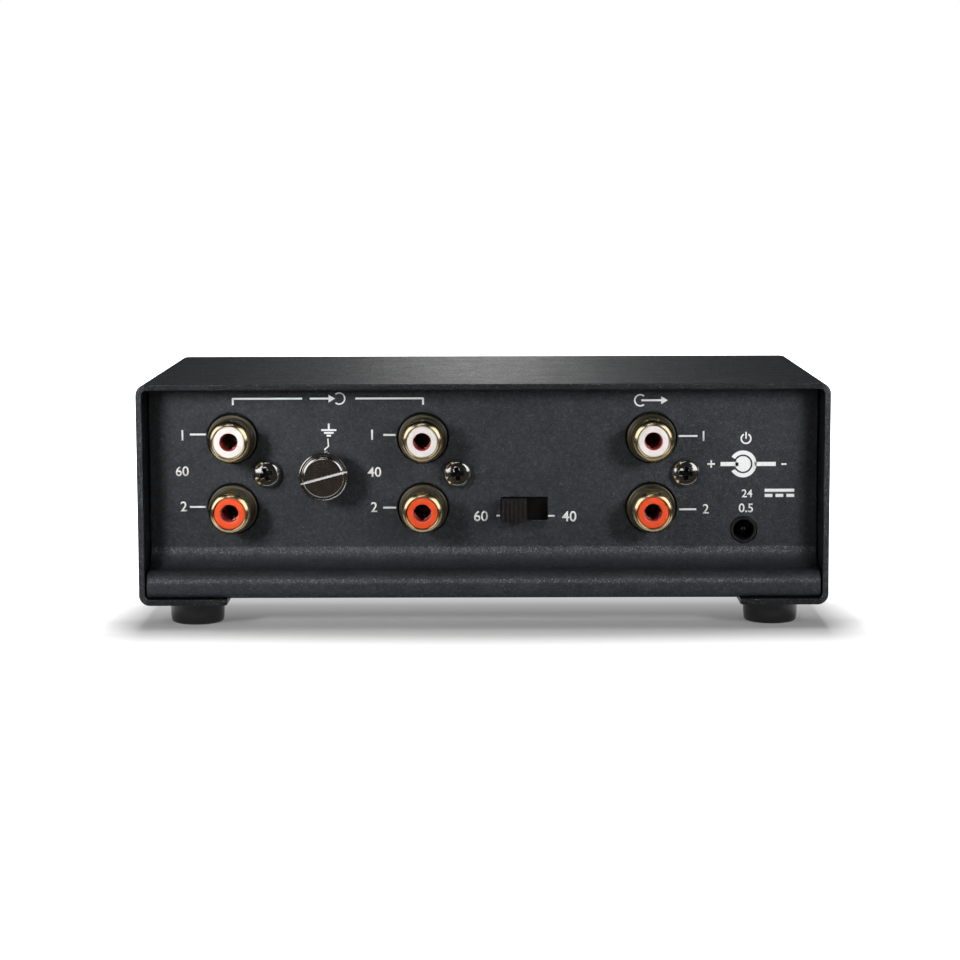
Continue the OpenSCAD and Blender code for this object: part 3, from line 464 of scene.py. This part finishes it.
holes.append(round_cutter(2.7, (inlet_x, punch, inlet_z), facing_out))
holes.append(round_cutter(1.6, (0, -punch, 22), facing_out))
holes.append(box((9.3, 4, 4.7), (slot_x, punch, switch_z)))
holes += [round_cutter(1.55, (x, y, 6.3), sides=40) for x, y in foot_places]
cut_with(chassis, holes)
soften(chassis, 0.14)
chassis.data.materials.append(powder_coat("chassis_coat", (0.0302, 0.0338, 0.0382), 0.5, 0.22, 0.35))
fasten(chassis, "case", "chassis_paint", "chassis")


# Feet: four moulded rubber feet under the cover's flanges, a little narrower at the table, each with a
# recess for its screw.
def turned(name, profile, sides=72):
    """Body turned about its own upright axis from a closed profile of radii and heights in millimetres."""
    piece = traced(name, [(r, 0, z) for r, z in profile + profile[:1]])
    bpy.ops.mesh.spin(steps=sides, angle=2 * math.pi, center=(0, 0, 0), axis=(0, 0, 1))
    bpy.ops.mesh.select_all(action="SELECT")
    bpy.ops.mesh.remove_doubles(threshold=mm(0.001))
    bpy.ops.mesh.dissolve_degenerate(threshold=mm(0.0005))
    bpy.ops.mesh.select_all(action="SELECT")
    bpy.ops.mesh.normals_make_consistent(inside=False)
    bpy.ops.object.mode_set(mode="OBJECT")
    bpy.ops.object.shade_smooth_by_angle(angle=math.radians(32))
    return piece


def put(piece, place, turn=(0, 0, 0)):
    """Move a piece to a place in millimetres and turn it, both written into its mesh."""
    piece.location = mm(*place)
    piece.rotation_euler = turn
    take(piece)
    bpy.ops.object.transform_apply(location=True, rotation=True, scale=True)


def copy_at(piece, name, place, turn=(0, 0, 0)):
    """Copy of a piece with its own mesh, put at a place and turned."""
    made = piece.copy()
    made.data = piece.data.copy()
    made.name = made.data.name = name
    bpy.context.collection.objects.link(made)
    put(made, place, turn)
    return made


foot_profile = (
    [(1.65, 2.4), (3.0, 2.4), (3.1, 2.3), (3.1, 0.12), (3.22, 0)]
    + arc((4.6, 0.6), 0.6, 270, 350, 6)
    + [(5.3, 1.4), (5.38, 3.2), (5.42, 4.0), (5.5, 4.38), (5.4, 4.5), (1.65, 4.5)]
)
foot = turned("foot", foot_profile)
foot.data.materials.append(finish("foot_rubber", (0.007, 0.007, 0.0073), 0.2, mottle=0.2, grain=1.4))
for name, (x, y) in zip(("rear_left", "rear_right", "front_left", "front_right"), foot_places):
    fasten(copy_at(foot, "rubber_foot_" + name, (x, y, 0)), "case", "foot_rubber", "foot_" + name)
bpy.data.objects.remove(foot)


# Foot screws and board screws: zinc-plated pan heads with a cross recess. The foot screws go up through
# foot, cover flange and chassis floor into the clinch nuts.
dome, dome_middle = 6, -3.85


def cross_screw(name, length):
    """Screw with its head's underside at height 0: a domed head with a cross recess, and a thread below."""
    thread = []
    for n in range(int(length / 0.5) - 1):
        thread += [(1.44, -0.6 - 0.5 * n), (1.2, -0.85 - 0.5 * n)]
    profile = (
        [(0, 2.15)]
        + arc((0, dome_middle), dome, 86, 70, 4)
        + arc((1.642, 0.661), 1.2, 62, 0, 7)
        + [(2.84, 0.12), (2.74, 0), (1.44, 0)]
        + thread
        + [(0.9, -length), (0, -length)]
    )
    made = turned(name, profile, 48)
    for turn in (0, 90):
        arm = box((3.4, 0.95, 2.3), (0, 0, 1.85))
        bpy.ops.object.mode_set(mode="EDIT")
        pick("FACE", lambda x, y, z: z < 1)
        bpy.ops.transform.resize(value=(0.5, 0.8, 1), center_override=(0, 0, 0))
        bpy.ops.object.mode_set(mode="OBJECT")
        put(arm, (0, 0, 0), (0, 0, math.radians(turn)))
        cut_with(made, [arm])
    soften(made, 0.11, 38)
    return made


board_top = 14.5
zinc = finish("zinc_plate", (0.5, 0.51, 0.53), 0.3, 1.0, grain=1.5)
foot_screw = cross_screw("foot_screw", 6)
foot_screw.data.materials.append(zinc)
for n, (x, y) in enumerate(foot_places):
    turn = (math.pi, 0, math.radians(25 + 37 * n))
    screw = copy_at(foot_screw, f"foot_screw_{n + 1}", (x, y, 2.4), turn)
    fasten(screw, "case", "zinc_steel", "foot_screws")
for n, (x, y) in enumerate(((-60, -21), (60, -21), (-60, 21), (60, 21))):
    turn = (0, 0, math.radians(10 + 41 * n))
    screw = copy_at(foot_screw, f"board_screw_{n + 1}", (x, y, board_top), turn)
    fasten(screw, "case", "zinc_steel", "board_screws")
bpy.data.objects.remove(foot_screw)


# Clinch nuts and standoffs: plated steel pressed into the chassis floor, and plain brass posts under
# the circuit board.
def dress(material, *names):
    """Give nodes that keep their own shape a finish."""
    for name in names:
        for slot in nodes[name].material_slots:
            slot.material = material


dress(zinc, "foot_nuts")
dress(finish("plain_brass", (0.7, 0.5, 0.22), 0.28, 1.0, grain=1.2), "board_standoffs", "ground_bush")

# Circuit board: glass laminate under a green solder mask, with copper tracks that show through it. It
# lies on the standoffs and carries the connectors, the switch and the circuit parts.
board = finish("solder_mask", (0.02, 0.13, 0.06), 0.3, mottle=0.12, grain=2.5, relief=0.003, Coat_Weight=0.3)
tree = board.node_tree
tracks = knot(
    tree,
    "TexBrick",
    Vector=tree.nodes["Where"].outputs["Object"],
    Scale=1 / mm(9),
    Mortar_Size=0.035,
    Mortar_Smooth=0.0,
    Brick_Width=0.62,
    Row_Height=0.27,
)
bare_board, over_copper = (0.015, 0.1, 0.045, 1), (0.05, 0.24, 0.09, 1)
mask = knot(tree, "MixRGB", Fac=tracks.outputs["Fac"], Color1=bare_board, Color2=over_copper)
tree.links.new(mask.outputs["Color"], tree.nodes["Principled BSDF"].inputs["Base Color"])
dress(board, "circuit_board")


# Circuit parts: moulded chips on tinned legs, sleeved cans, red film capacitors, banded resistors and
# wound drum chokes. They keep their own shapes; each finish marks off legs, bands and windings.
tin, aluminium, copper_wire = (0.6, 0.6, 0.6), (0.62, 0.63, 0.65), (0.5, 0.17, 0.07)
bare_metal = {tin: 1.0, aluminium: 1.0, copper_wire: 0.6}


def zoned(made, way, start, span, stops):
    """Split a finish into zones along an axis, from a start over a span in millimetres."""
    tree = made.node_tree
    shader = tree.nodes["Principled BSDF"]
    spot = axis(tree, tree.nodes["Where"].outputs["Object"], way)
    along = ranged(tree, spot, From_Min=mm(start), From_Max=mm(start + span))
    shade = ranged(tree, tree.nodes["Cloud"].outputs["Fac"], To_Min=0.8, To_Max=1.2)
    tint = knot(tree, "MixRGB", 1.0, ramp(tree, along, stops, "CONSTANT"), shade, blend_type="MULTIPLY")
    tree.links.new(tint.outputs["Color"], shader.inputs["Base Color"])
    metal = [(position, bare_metal.get(colour, 0.0)) for position, colour in stops]
    tree.links.new(ramp(tree, along, metal, "CONSTANT"), shader.inputs["Metallic"])
    return made


chip, ferrite, black = (0.018, 0.018, 0.02), (0.03, 0.03, 0.032), (0, 0, 0)
amplifier_case = finish("chip_moulding", chip, 0.55, grain=0.4, relief=0.008)
zoned(amplifier_case, "Z", board_top, 5, [(0.0, tin), (0.16, chip)])
dress(amplifier_case, *(f"amplifier_{n}" for n in (1, 2, 3)))
transistor_case = finish("transistor_moulding", chip, 0.5, grain=0.4, relief=0.008)
dress(zoned(transistor_case, "Z", board_top, 10, [(0.0, tin), (0.3, chip)]), "transistors")
regulator_case = finish("regulator_case", ferrite, 0.5, grain=0.5)
stops = [(0.0, tin), (0.175, ferrite), (0.625, tin)]
dress(zoned(regulator_case, "Z", board_top, 20, stops), "regulator")
blue, brown, red, gold_band = (0.1, 0.3, 0.46), (0.12, 0.03, 0.01), (0.5, 0.02, 0.01), (0.6, 0.4, 0.1)
lacquer = finish("resistor_lacquer", blue, 0.35, grain=0.5, Coat_Weight=0.3)
stops = [(0.0, tin), (0.185, blue), (0.24, brown), (0.3, blue), (0.38, black), (0.44, blue), (0.5, red)]
stops += [(0.56, blue), (0.7, gold_band), (0.76, blue), (0.815, tin)]
dress(zoned(lacquer, "Y", 5.4, 10, stops), "resistors")
diode_case = finish("diode_moulding", chip, 0.45, grain=0.5)
stops = [(0.0, tin), (0.24, chip), (0.64, (0.6, 0.6, 0.58)), (0.71, chip), (0.76, tin)]
dress(zoned(diode_case, "Y", -13, 10, stops), "supply_diode")
choke = finish("choke_winding", ferrite, 0.4, grain=0.4, relief=0.01)
zoned(choke, "Z", board_top, 10, [(0.0, ferrite), (0.14, copper_wire), (0.58, ferrite)])
tree = choke.node_tree
where = tree.nodes["Where"].outputs["Object"]
turns = knot(tree, "TexWave", bands_direction="Z", Vector=where, Scale=1 / mm(2.2))
ridges = knot(tree, "Bump", Height=turns.outputs["Fac"], Distance=mm(0.06))
tree.links.new(ridges.outputs["Normal"], tree.nodes["Principled BSDF"].inputs["Normal"])
dress(choke, "filter_chokes")
for name, sleeve, height in (("supply", (0.025, 0.035, 0.11), 20), ("coupling", (0.02, 0.02, 0.026), 11.5)):
    can = finish(name + "_sleeve", sleeve, 0.32, grain=0.9, Coat_Weight=0.4)
    stops = [(0.0, chip), (0.5 / height, sleeve), (1 - 0.25 / height, aluminium)]
    dress(zoned(can, "Z", board_top, height, stops), name + "_capacitors")
dress(finish("film_case", (0.4, 0.04, 0.02), 0.3, grain=1.0, Coat_Weight=0.3), "film_capacitors")


# Jack housings: moulded black blocks that stand on the circuit board behind the panel. Each carries two
# jacks and has an ear for the screw.
black_moulding = finish("black_moulding", (0.012, 0.012, 0.013), 0.4, mottle=0.15, grain=1.0, relief=0.006)
dress(black_moulding, *(f"jack_housing_{n}" for n in (1, 2, 3)), "lamp_holder")

# Jack shells: turned brass with polished gold plate. Each has a collar in the panel's hole, a barrel for
# the plug's skirt with a rounded lip, and a spigot in the housing.
shell_profile = (
    [(3.15, -4.2), (3.9, -4.2), (3.9, -1.2), (4.75, -1.2), (4.8, -1.1)]
    + arc((4.58, 0.78), 0.22, 0, 90, 4)
    + [(4.5, 1.0), (4.46, 0.94), (4.2, 0.94)]
    + arc((4.35, 1.1), 0.2, 230, 180, 2)
    + [(4.15, 6.9), (4.08, 7.2), (3.95, 7.44), (3.75, 7.66), (3.5, 7.86)]
    + [(3.26, 8.0), (3.17, 7.95), (3.15, 7.6)]
)
gold = finish("gold_plate", (0.86, 0.71, 0.43), 0.2, 1.0, mottle=0.05, grain=2.2, relief=0.0003)
shaded_collar_gold = finish("shaded_collar_gold", (0.3, 0.28, 0.22), 0.3, 1.0, grain=2.2, relief=0.0003)
shell = turned("shell", shell_profile, 96)
shell.data.materials.append(gold)
shell.data.materials.append(shaded_collar_gold)
# Painted shade and painted dark reflection: the collar below the barrel takes a duller, greyer copy of the
# gold plate.
collar_top, barrel_radius = 1.05, 4.17
for face in shell.data.polygons:
    if face.center.z < mm(collar_top) and math.hypot(face.center.x, face.center.y) > mm(barrel_radius):
        face.material_index = 1

# Insulators: moulded plastic rings in the shells, white above and red below. The bore for the plug's pin, in
# front of the tarnished contact, is painted red in both colours of ring, as painted shade in the hole.
insulator_profile = (
    [(2.05, -9.2), (3.1, -9.2), (3.1, 7.35)]
    + arc((2.85, 7.35), 0.25, 0, 90, 4)
    + arc((1.95, 7.35), 0.25, 90, 180, 4)
    + [(1.7, 4.5), (2.05, 4.5)]
)
insulator = turned("insulator", insulator_profile, 96)
whites = finish(
    "white_moulding", (0.84, 0.76, 0.72), 0.32, mottle=0.03, grain=1.6, relief=0.003, Subsurface_Weight=0.1
)
reds = finish("red_moulding", (0.8, 0.085, 0.02), 0.3, mottle=0.07, grain=1.3, relief=0.003)
insulator.data.materials.append(whites)
insulator.data.materials.append(finish("bore_shadow", (0.55, 0.08, 0.1), 0.5, mottle=0.2))
# Painted shade: the faces inside the bore take the red bore finish.
bore_radius, back_radius, back_end = 1.76, 2.1, 4.7
for face in insulator.data.polygons:
    reach = math.hypot(face.center.x, face.center.y)
    if reach < mm(bore_radius) or face.center.z < mm(back_end) and reach < mm(back_radius):
        face.material_index = 1
contact_gold = finish("contact_gold", (0.42, 0.19, 0.12), 0.5, 0.15, mottle=0.2, grain=0.8)
dress(contact_gold, *(f"jack_contacts_{n}" for n in (1, 2, 3)), "switch_wipers")
for n, x in enumerate(jack_places, 1):
    for row, z, plastic in (("upper", upper, whites), ("lower", lower, reds)):
        barrel = copy_at(shell, f"gold_shell_{row}_{n}", (x, panel, z), facing_out)
        fasten(barrel, "case", "gold_shell", f"jack_shell_{row}_{n}")
        ring = copy_at(insulator, f"plastic_ring_{row}_{n}", (x, panel, z), facing_out)
        ring.data.materials[0] = plastic
        slot = "white_insulator" if row == "upper" else "red_insulator"
        fasten(ring, "case", slot, f"jack_insulator_{row}_{n}")
bpy.data.objects.remove(shell)
bpy.data.objects.remove(insulator)

# Jack screws: three black nickel pan heads with a cross recess, which hold the housings to the panel.
# Each has come to rest at its own angle.
jack_screw = cross_screw("jack_screw", 8)
black_nickel = finish("black_nickel", (0.62, 0.62, 0.6), 0.14, 1.0, mottle=0.12, grain=1.2, relief=0.0008)
jack_screw.data.materials.append(black_nickel)
# Painted shade: the faces deep in the cross recess take a near-black finish.
jack_screw.data.materials.append(finish("painted_recess_shade", (0.004, 0.004, 0.004), 0.6, mottle=0.2, grain=0.5))
recess_radius, shade_depth = 1.75, 0.13
for face in jack_screw.data.polygons:
    x, y, z = face.center * 1000
    reach = math.hypot(x, y)
    if reach < recess_radius and 0 < z < math.sqrt(dome**2 - reach**2) + dome_middle - shade_depth:
        face.material_index = 1
for n, (x, turn) in enumerate(zip(jack_places, (20, 8, -4)), 1):
    tilt = Matrix.Rotation(math.pi / 2, 3, "X") @ Matrix.Rotation(math.radians(turn), 3, "Z")
    screw = copy_at(jack_screw, f"jack_screw_{n}", (x + ear, panel, middle), tilt.to_euler())
    fasten(screw, "case", "black_nickel", "jack_screws")
bpy.data.objects.remove(jack_screw)

# Printed marks: thin white screen print on the panel. Plain figures stand for the channels and settings,
# and common signs for input, output, earth, supply and polarity.
ink = finish("white_ink", (0.84, 0.85, 0.84), 0.6, mottle=0.05, grain=0.5)
ink_height, stroke = 0.03, 0.38


def printed(name, shapes):
    """Join flat shapes into one print on the panel."""
    piece = joined(shapes)
    piece.name = piece.data.name = name
    piece.data.materials.append(ink)
    fasten(piece, "case", None)


def raised(outline):
    """Flat shape with the ink's height on the panel, from its outline in millimetres of width and height."""
    shape = traced("print", [(x, 0, z) for x, z in [*outline, outline[0]]])
    bpy.ops.mesh.edge_face_add()
    bpy.ops.mesh.extrude_region_move(TRANSFORM_OT_translate={"value": mm(0, -ink_height, 0)})
    bpy.ops.mesh.select_all(action="SELECT")
    bpy.ops.mesh.normals_make_consistent(inside=False)
    bpy.ops.transform.translate(value=mm(0, panel, 0))
    bpy.ops.object.mode_set(mode="OBJECT")
    return shape


def line(start, end, width=stroke):
    """Straight stroke between two places."""
    start, end = Vector(start), Vector(end)
    along = (end - start).normalized() * width / 2
    side = Vector((-along.y, along.x))
    return raised([start + side, start - side, end - side, end + side])


def band(centre, outer, inner, start, end):
    """Curved stroke about a centre, between two radii and two angles in degrees."""
    return raised(arc(centre, outer, start, end, 40) + arc(centre, inner, end, start, 40))


def figure(text, centre, height):
    """Plain figures of a height, centred on a place."""
    bpy.ops.object.text_add()
    letters = bpy.context.object
    letters.data.body = text
    letters.data.offset = 0.012
    bpy.ops.object.convert(target="MESH")
    letters = bpy.context.object
    low = [min(v.co[n] for v in letters.data.vertices) for n in (0, 1)]
    high = [max(v.co[n] for v in letters.data.vertices) for n in (0, 1)]
    scale = height / (high[1] - low[1])
    bpy.ops.object.mode_set(mode="EDIT")
    bpy.ops.mesh.select_all(action="SELECT")
    bpy.ops.mesh.remove_doubles(threshold=0.0001)
    bpy.ops.transform.translate(value=(-(low[0] + high[0]) / 2, -(low[1] + high[1]) / 2, 0))
    bpy.ops.transform.resize(value=(mm(scale),) * 3, center_override=(0, 0, 0))
    bpy.ops.mesh.select_all(action="SELECT")
    bpy.ops.mesh.extrude_region_move(TRANSFORM_OT_translate={"value": mm(0, 0, ink_height)})
    bpy.ops.mesh.select_all(action="SELECT")
    bpy.ops.mesh.normals_make_consistent(inside=False)
    bpy.ops.object.mode_set(mode="OBJECT")
    put(letters, (centre[0], panel, centre[1]), facing_out)
    return letters


def arrow(tail, tip):
    """Arrow from its tail to its tip."""
    way = 1 if tip[0] > tail[0] else -1
    neck = tip[0] - way * 1.3
    return raised(
        [
            (tail[0], tail[1] + stroke / 2),
            (tail[0], tail[1] - stroke / 2),
            (neck, tip[1] - stroke / 2),
            (neck, tip[1] - 0.8),
            tip,
            (neck, tip[1] + 0.8),
            (neck, tip[1] + stroke / 2),
        ]
    )


printed(
    "print_inputs",
    [
        line((-49.5, 44.45), (-35.7, 44.45)),
        line((-25.2, 44.45), (-11.75, 44.45)),
        line((-49.4, 44.5), (-49.4, 43.2)),
        line((-11.85, 44.5), (-11.85, 43.2)),
        arrow((-34.2, 44.45), (-29.2, 44.45)),
        band((-28.4, 44.45), 1.25, 0.95, -130, 130),
        figure("1", (-59.45, 37.25), 2.05),
        line((-57.96, 37.4), (-54.79, 37.4)),
        figure("60", (-59.6, 30.1), 1.97),
        figure("2", (-59.4, 23.07), 2.0),
        line((-58.2, 22.96), (-55.07, 22.96)),
        figure("1", (-21.95, 37.25), 2.0),
        line((-19.73, 37.22), (-17.35, 37.22)),
        figure("40", (-21.55, 29.85), 1.97),
        figure("2", (-21.67, 22.84), 2.0),
        line((-19.88, 22.72), (-17.3, 22.72)),
    ],
)
printed(
    "print_ground",
    [
        line((-30.5, 39.5), (-30.5, 38.2)),
        line((-32.0, 38.2), (-29.0, 38.2)),
        line((-31.45, 37.65), (-29.55, 37.65)),
        line((-30.95, 37.1), (-30.05, 37.1)),
        line((-30.7, 36.5), (-30.6, 34.9), 0.26),
        line((-30.62, 34.98), (-31.4, 34.3), 0.26),
    ],
)
printed(
    "print_switch",
    [
        figure("60", (-0.5, 21.0), 2.1),
        line((2.58, 21.07), (3.3, 21.07), 0.34),
        line((12.8, 21.0), (14.12, 21.0), 0.34),
        figure("40", (17.0, 20.9), 2.1),
    ],
)
printed(
    "print_output",
    [
        band((31.0, 43.95), 1.25, 0.95, 50, 310),
        arrow((31.2, 43.95), (36.4, 43.95)),
        line((38.54, 36.85), (42.31, 36.85)),
        line((38.79, 22.24), (42.18, 22.24)),
        figure("1", (43.5, 36.83), 1.98),
        figure("2", (44.05, 22.32), 1.9),
    ],
)
printed(
    "print_power",
    [
        band((51.9, 36.3), 1.1, 0.8, 118, 422),
        line((51.9, 37.65), (51.9, 36.3), 0.3),
        line((44.32, 31.27), (45.8, 31.27), 0.32),
        raised([(44.9, 30.53), (45.22, 30.53), (45.22, 32.02), (44.9, 32.02)]),
        line((46.9, 31.25), (50.4, 31.25), 0.83),
        raised(arc((51.35, 31.27), 1.54, 0, 351, 39)),
        band((51.35, 31.27), 2.68, 1.87, -148, 148),
        line((53.6, 31.25), (57.82, 31.25), 0.83),
        line((58.93, 31.22), (59.94, 31.22), 0.32),
        figure("24", (52.2, 25.4), 1.57),
        line((55.68, 26.0), (61.54, 26.0), 0.62),
        *(line((x, 24.97), (x + 1.55, 24.97), 0.62) for x in (55.68, 57.83, 59.99)),
        figure("0.5", (52.0, 22.5), 1.77),
    ],
)

# Ground screw: nickel-plated brass, turned, with a fine knurl round its head and a slot for a coin or
# screwdriver. It turns in the panel's bush and carries a captive washer.
knurl_ribs = 60
screw_profile = (
    [(0, 7.1), (3.55, 7.1), (3.75, 7.05), (3.95, 6.93), (4.12, 6.75), (4.22, 6.52), (4.25, 6.3)]
    + [(4.45, 6.3), (4.6, 6.36), (4.75, 6.3), (4.85, 6.1), (4.85, 1.9), (4.6, 1.6), (1.95, 1.6)]
    + [(r, 1.2 - 0.35 * n) for n in range(24) for r in ((1.95,) if n % 2 else (1.7,))]
    + [(1.5, -7.4), (0, -7.4)]
)
ground_screw = turned("ground_screw_head", screw_profile, 2 * knurl_ribs)
bpy.ops.object.mode_set(mode="EDIT")
rib_angle = math.pi / knurl_ribs
pick(
    "VERT",
    lambda x, y, z: 1.7 < z < 6.2 and math.hypot(x, y) > 4.8 and round(math.atan2(y, x) / rib_angle) % 2 == 0,
)
bpy.ops.transform.resize(value=(0.972, 0.972, 1), center_override=(0, 0, 0))
bpy.ops.object.mode_set(mode="OBJECT")
slot_cutter = box((12, 0.6, 3.6), (0, 0, 7.1))
put(slot_cutter, (0, 0, 0), (0, 0, math.radians(15)))
cut_with(ground_screw, [slot_cutter])
soften(ground_screw, 0.13, 50)
put(ground_screw, (ground_x, panel, middle), facing_out)
nickel = finish("bright_nickel", (0.66, 0.65, 0.64), 0.13, 1.0, mottle=0.06, grain=1.4, relief=0.0004)
ground_screw.data.materials.append(nickel)
fasten(ground_screw, "ground_screw", "bright_nickel", "ground_screw")
dress(nickel, "ground_washer")
tinned = finish("tin_plate", (0.6, 0.61, 0.62), 0.34, 1.0, grain=1.0)
dress(tinned, "ground_nut", "ground_lug", "switch_terminals")
# Painted shade: the inlet's nickel pin and spring, deep in its bore, are painted near black.
dress(finish("pin_painted_shade", (0.05, 0.05, 0.05), 0.25, 1.0, grain=1.0), "inlet_pin", "inlet_spring")
dress(finish("wire_insulation", (0.02, 0.2, 0.07), 0.4, grain=1.2), "ground_wire")

# Selector switch: a moulded slider with a ribbed knob in a zinc-plated frame. The knob's ribs are round
# and run up and down, and its cover plate closes the slot behind the panel.
knob_side, knob_top, rib_pitch, half_travel = 2.55, 4.45, 0.85, 2
ribs = [(-knob_side, -3.35), (knob_side, -3.35)]
for n in range(5, -1, -1):
    ribs += arc((-knob_side + rib_pitch * (n + 0.5), knob_top), 0.35, 0, 180)
knob = traced("switch_knob", [(x, 0, z) for x, z in ribs + ribs[:1]])
bpy.ops.mesh.edge_face_add()
bpy.ops.transform.translate(value=mm(0, -2.15, 0))
bpy.ops.mesh.extrude_region_move(TRANSFORM_OT_translate={"value": mm(0, 4.3, 0)})
bpy.ops.mesh.select_all(action="SELECT")
bpy.ops.mesh.normals_make_consistent(inside=False)
bpy.ops.object.mode_set(mode="OBJECT")
soften(knob, 0.12, 40)
plates = [box((13.7, 8.7, 1.6), (0, 0, -2.65)), box((8, 6.4, 1.5), (0, 0, -4.2))]
for plate in plates:
    soften(plate, 0.15)
joined([knob, *plates])
put(knob, (slot_x - half_travel, panel, switch_z), facing_out)
knob.data.materials.append(finish("knob_moulding", (0.014, 0.012, 0.012), 0.36, mottle=0.2, grain=0.8))
knob.data.materials.append(finish("painted_slot_shade", (0.004, 0.003, 0.003), 0.6, mottle=0.2, grain=0.8))
# Painted shade: the slider's plates behind the knob take a near-black copy of its plastic.
for face in knob.data.polygons:
    if face.center.y > mm(panel + 1.6):
        face.material_index = 1
fasten(knob, "switch_slider", "knob_plastic", "switch_slider")
dress(finish("switch_zinc", (0.5, 0.51, 0.52), 0.3, 1.0, grain=1.2), "switch_frame")
dress(finish("wafer_board", (0.2, 0.1, 0.04), 0.6, mottle=0.2, grain=0.5), "switch_wafer")

# Power inlet: a moulded black block on the circuit board, with a round nose that fills its hole in the
# panel and a bore for the plug's barrel round the nickel pin.
nose_profile = (
    [(2.05, -9.1), (2.6, -9.1), (2.6, -1.3), (2.55, -1.2)]
    + arc((2.4, 0.0), 0.15, 0, 90, 3)
    + arc((2.2, 0.0), 0.15, 90, 180, 3)
)
nose = turned("inlet_nose", nose_profile)
block = box((9, 8.2, 13), (0, 0.5, -7.7))
for bore in (round_cutter(2.56, (0, 0, -5.2), depth=8.2), round_cutter(1.15, (0, 0, -12), depth=8)):
    cut_with(block, [bore])
soften(block, 0.25)
joined([nose, block])
put(nose, (inlet_x, panel, inlet_z), facing_out)
nose.data.materials.append(black_moulding)
fasten(nose, "case", "black_plastic", "inlet_housing")

# Power lamp: a small epoxy lamp with tinned legs, behind the front panel in a moulded holder on the
# circuit board.
green = (0.3, 0.62, 0.28)
lens = finish(
    "lamp_epoxy", green, 0.2, mottle=0.06, grain=1.5, relief=0.002, Transmission_Weight=0.25, IOR=1.5
)
dress(zoned(lens, "Y", 19, 10, [(0.0, tin), (0.24, green)]), "lamp")

# Outer cover: one folded sheet of steel with the same powder coat: top, two sides and two flanges turned in
# under the body, through which the feet are screwed. Its coat is painted darker than the chassis's as painted
# shade, and lighter on the sides' cut edges as a painted highlight.
cover_x, cover_y, cover_h, cover_base, flange_x = 67.5, 36, 43.5, 4.5, 50.3
cover_middle = cover_base + cover_h / 2
cover = box((2 * cover_x, 2 * cover_y, cover_h), (0, 0, cover_middle), "folded_cover")
bpy.ops.object.mode_set(mode="EDIT")
pick("EDGE", lambda x, y, z: near(y, 0) and near(abs(x), cover_x) and not near(z, cover_middle))
bpy.ops.mesh.bevel(offset=mm(2.1), segments=10, affect="EDGES")
pick("FACE", lambda x, y, z: near(abs(y), cover_y))
bpy.ops.mesh.delete(type="FACE")
for side in (-flange_x, flange_x):
    pick("FACE", lambda x, y, z: near(z, cover_base))
    bpy.ops.mesh.bisect(plane_co=mm(side, 0, 0), plane_no=(1, 0, 0))
pick("FACE", lambda x, y, z: near(z, cover_base) and abs(x) < flange_x)
bpy.ops.mesh.delete(type="FACE")
pick("VERT", lambda x, y, z: near(z, cover_base) and near(abs(x), flange_x))
bpy.ops.mesh.bevel(offset=mm(1), segments=4, affect="VERTICES")
bpy.ops.object.mode_set(mode="OBJECT")
apply_modifier(cover, "SOLIDIFY", thickness=mm(sheet), offset=-1, use_even_offset=True)
cut_with(cover, [round_cutter(1.65, (x, y, 5), sides=40) for x, y in foot_places])
soften(cover, 0.2, segments=3)
# Painted shade: the cover's charcoal is about half the chassis coat's colour.
charcoal = (0.016, 0.0171, 0.019)
cover.data.materials.append(powder_coat("cover_coat", charcoal, 0.4, 0.1, 0.2))
lit_edge_coat = powder_coat("lit_edge_coat", charcoal, 0.45, 0.2, 0.2)
# Painted highlight: on the sides' cut edges the coat is painted up to 2.3 times lighter.
tree = lit_edge_coat.node_tree
across = maths(tree, "ABSOLUTE", axis(tree, tree.nodes["Where"].outputs["Object"], "X"))
side_edge_light = ranged(tree, across, From_Min=mm(65.7), From_Max=mm(66.3), To_Min=1.0, To_Max=2.3)
base = tree.nodes["Principled BSDF"].inputs["Base Color"]
lit_side_edges = knot(tree, "VectorMath", base.links[0].from_socket, operation="SCALE", Scale=side_edge_light)
tree.links.new(lit_side_edges.outputs[0], base)
cover.data.materials.append(lit_edge_coat)
for face in cover.data.polygons:
    if abs(face.normal.y) > 0.6:
        face.material_index = 1
fasten(cover, "case", "cover_paint", "outer_cover")
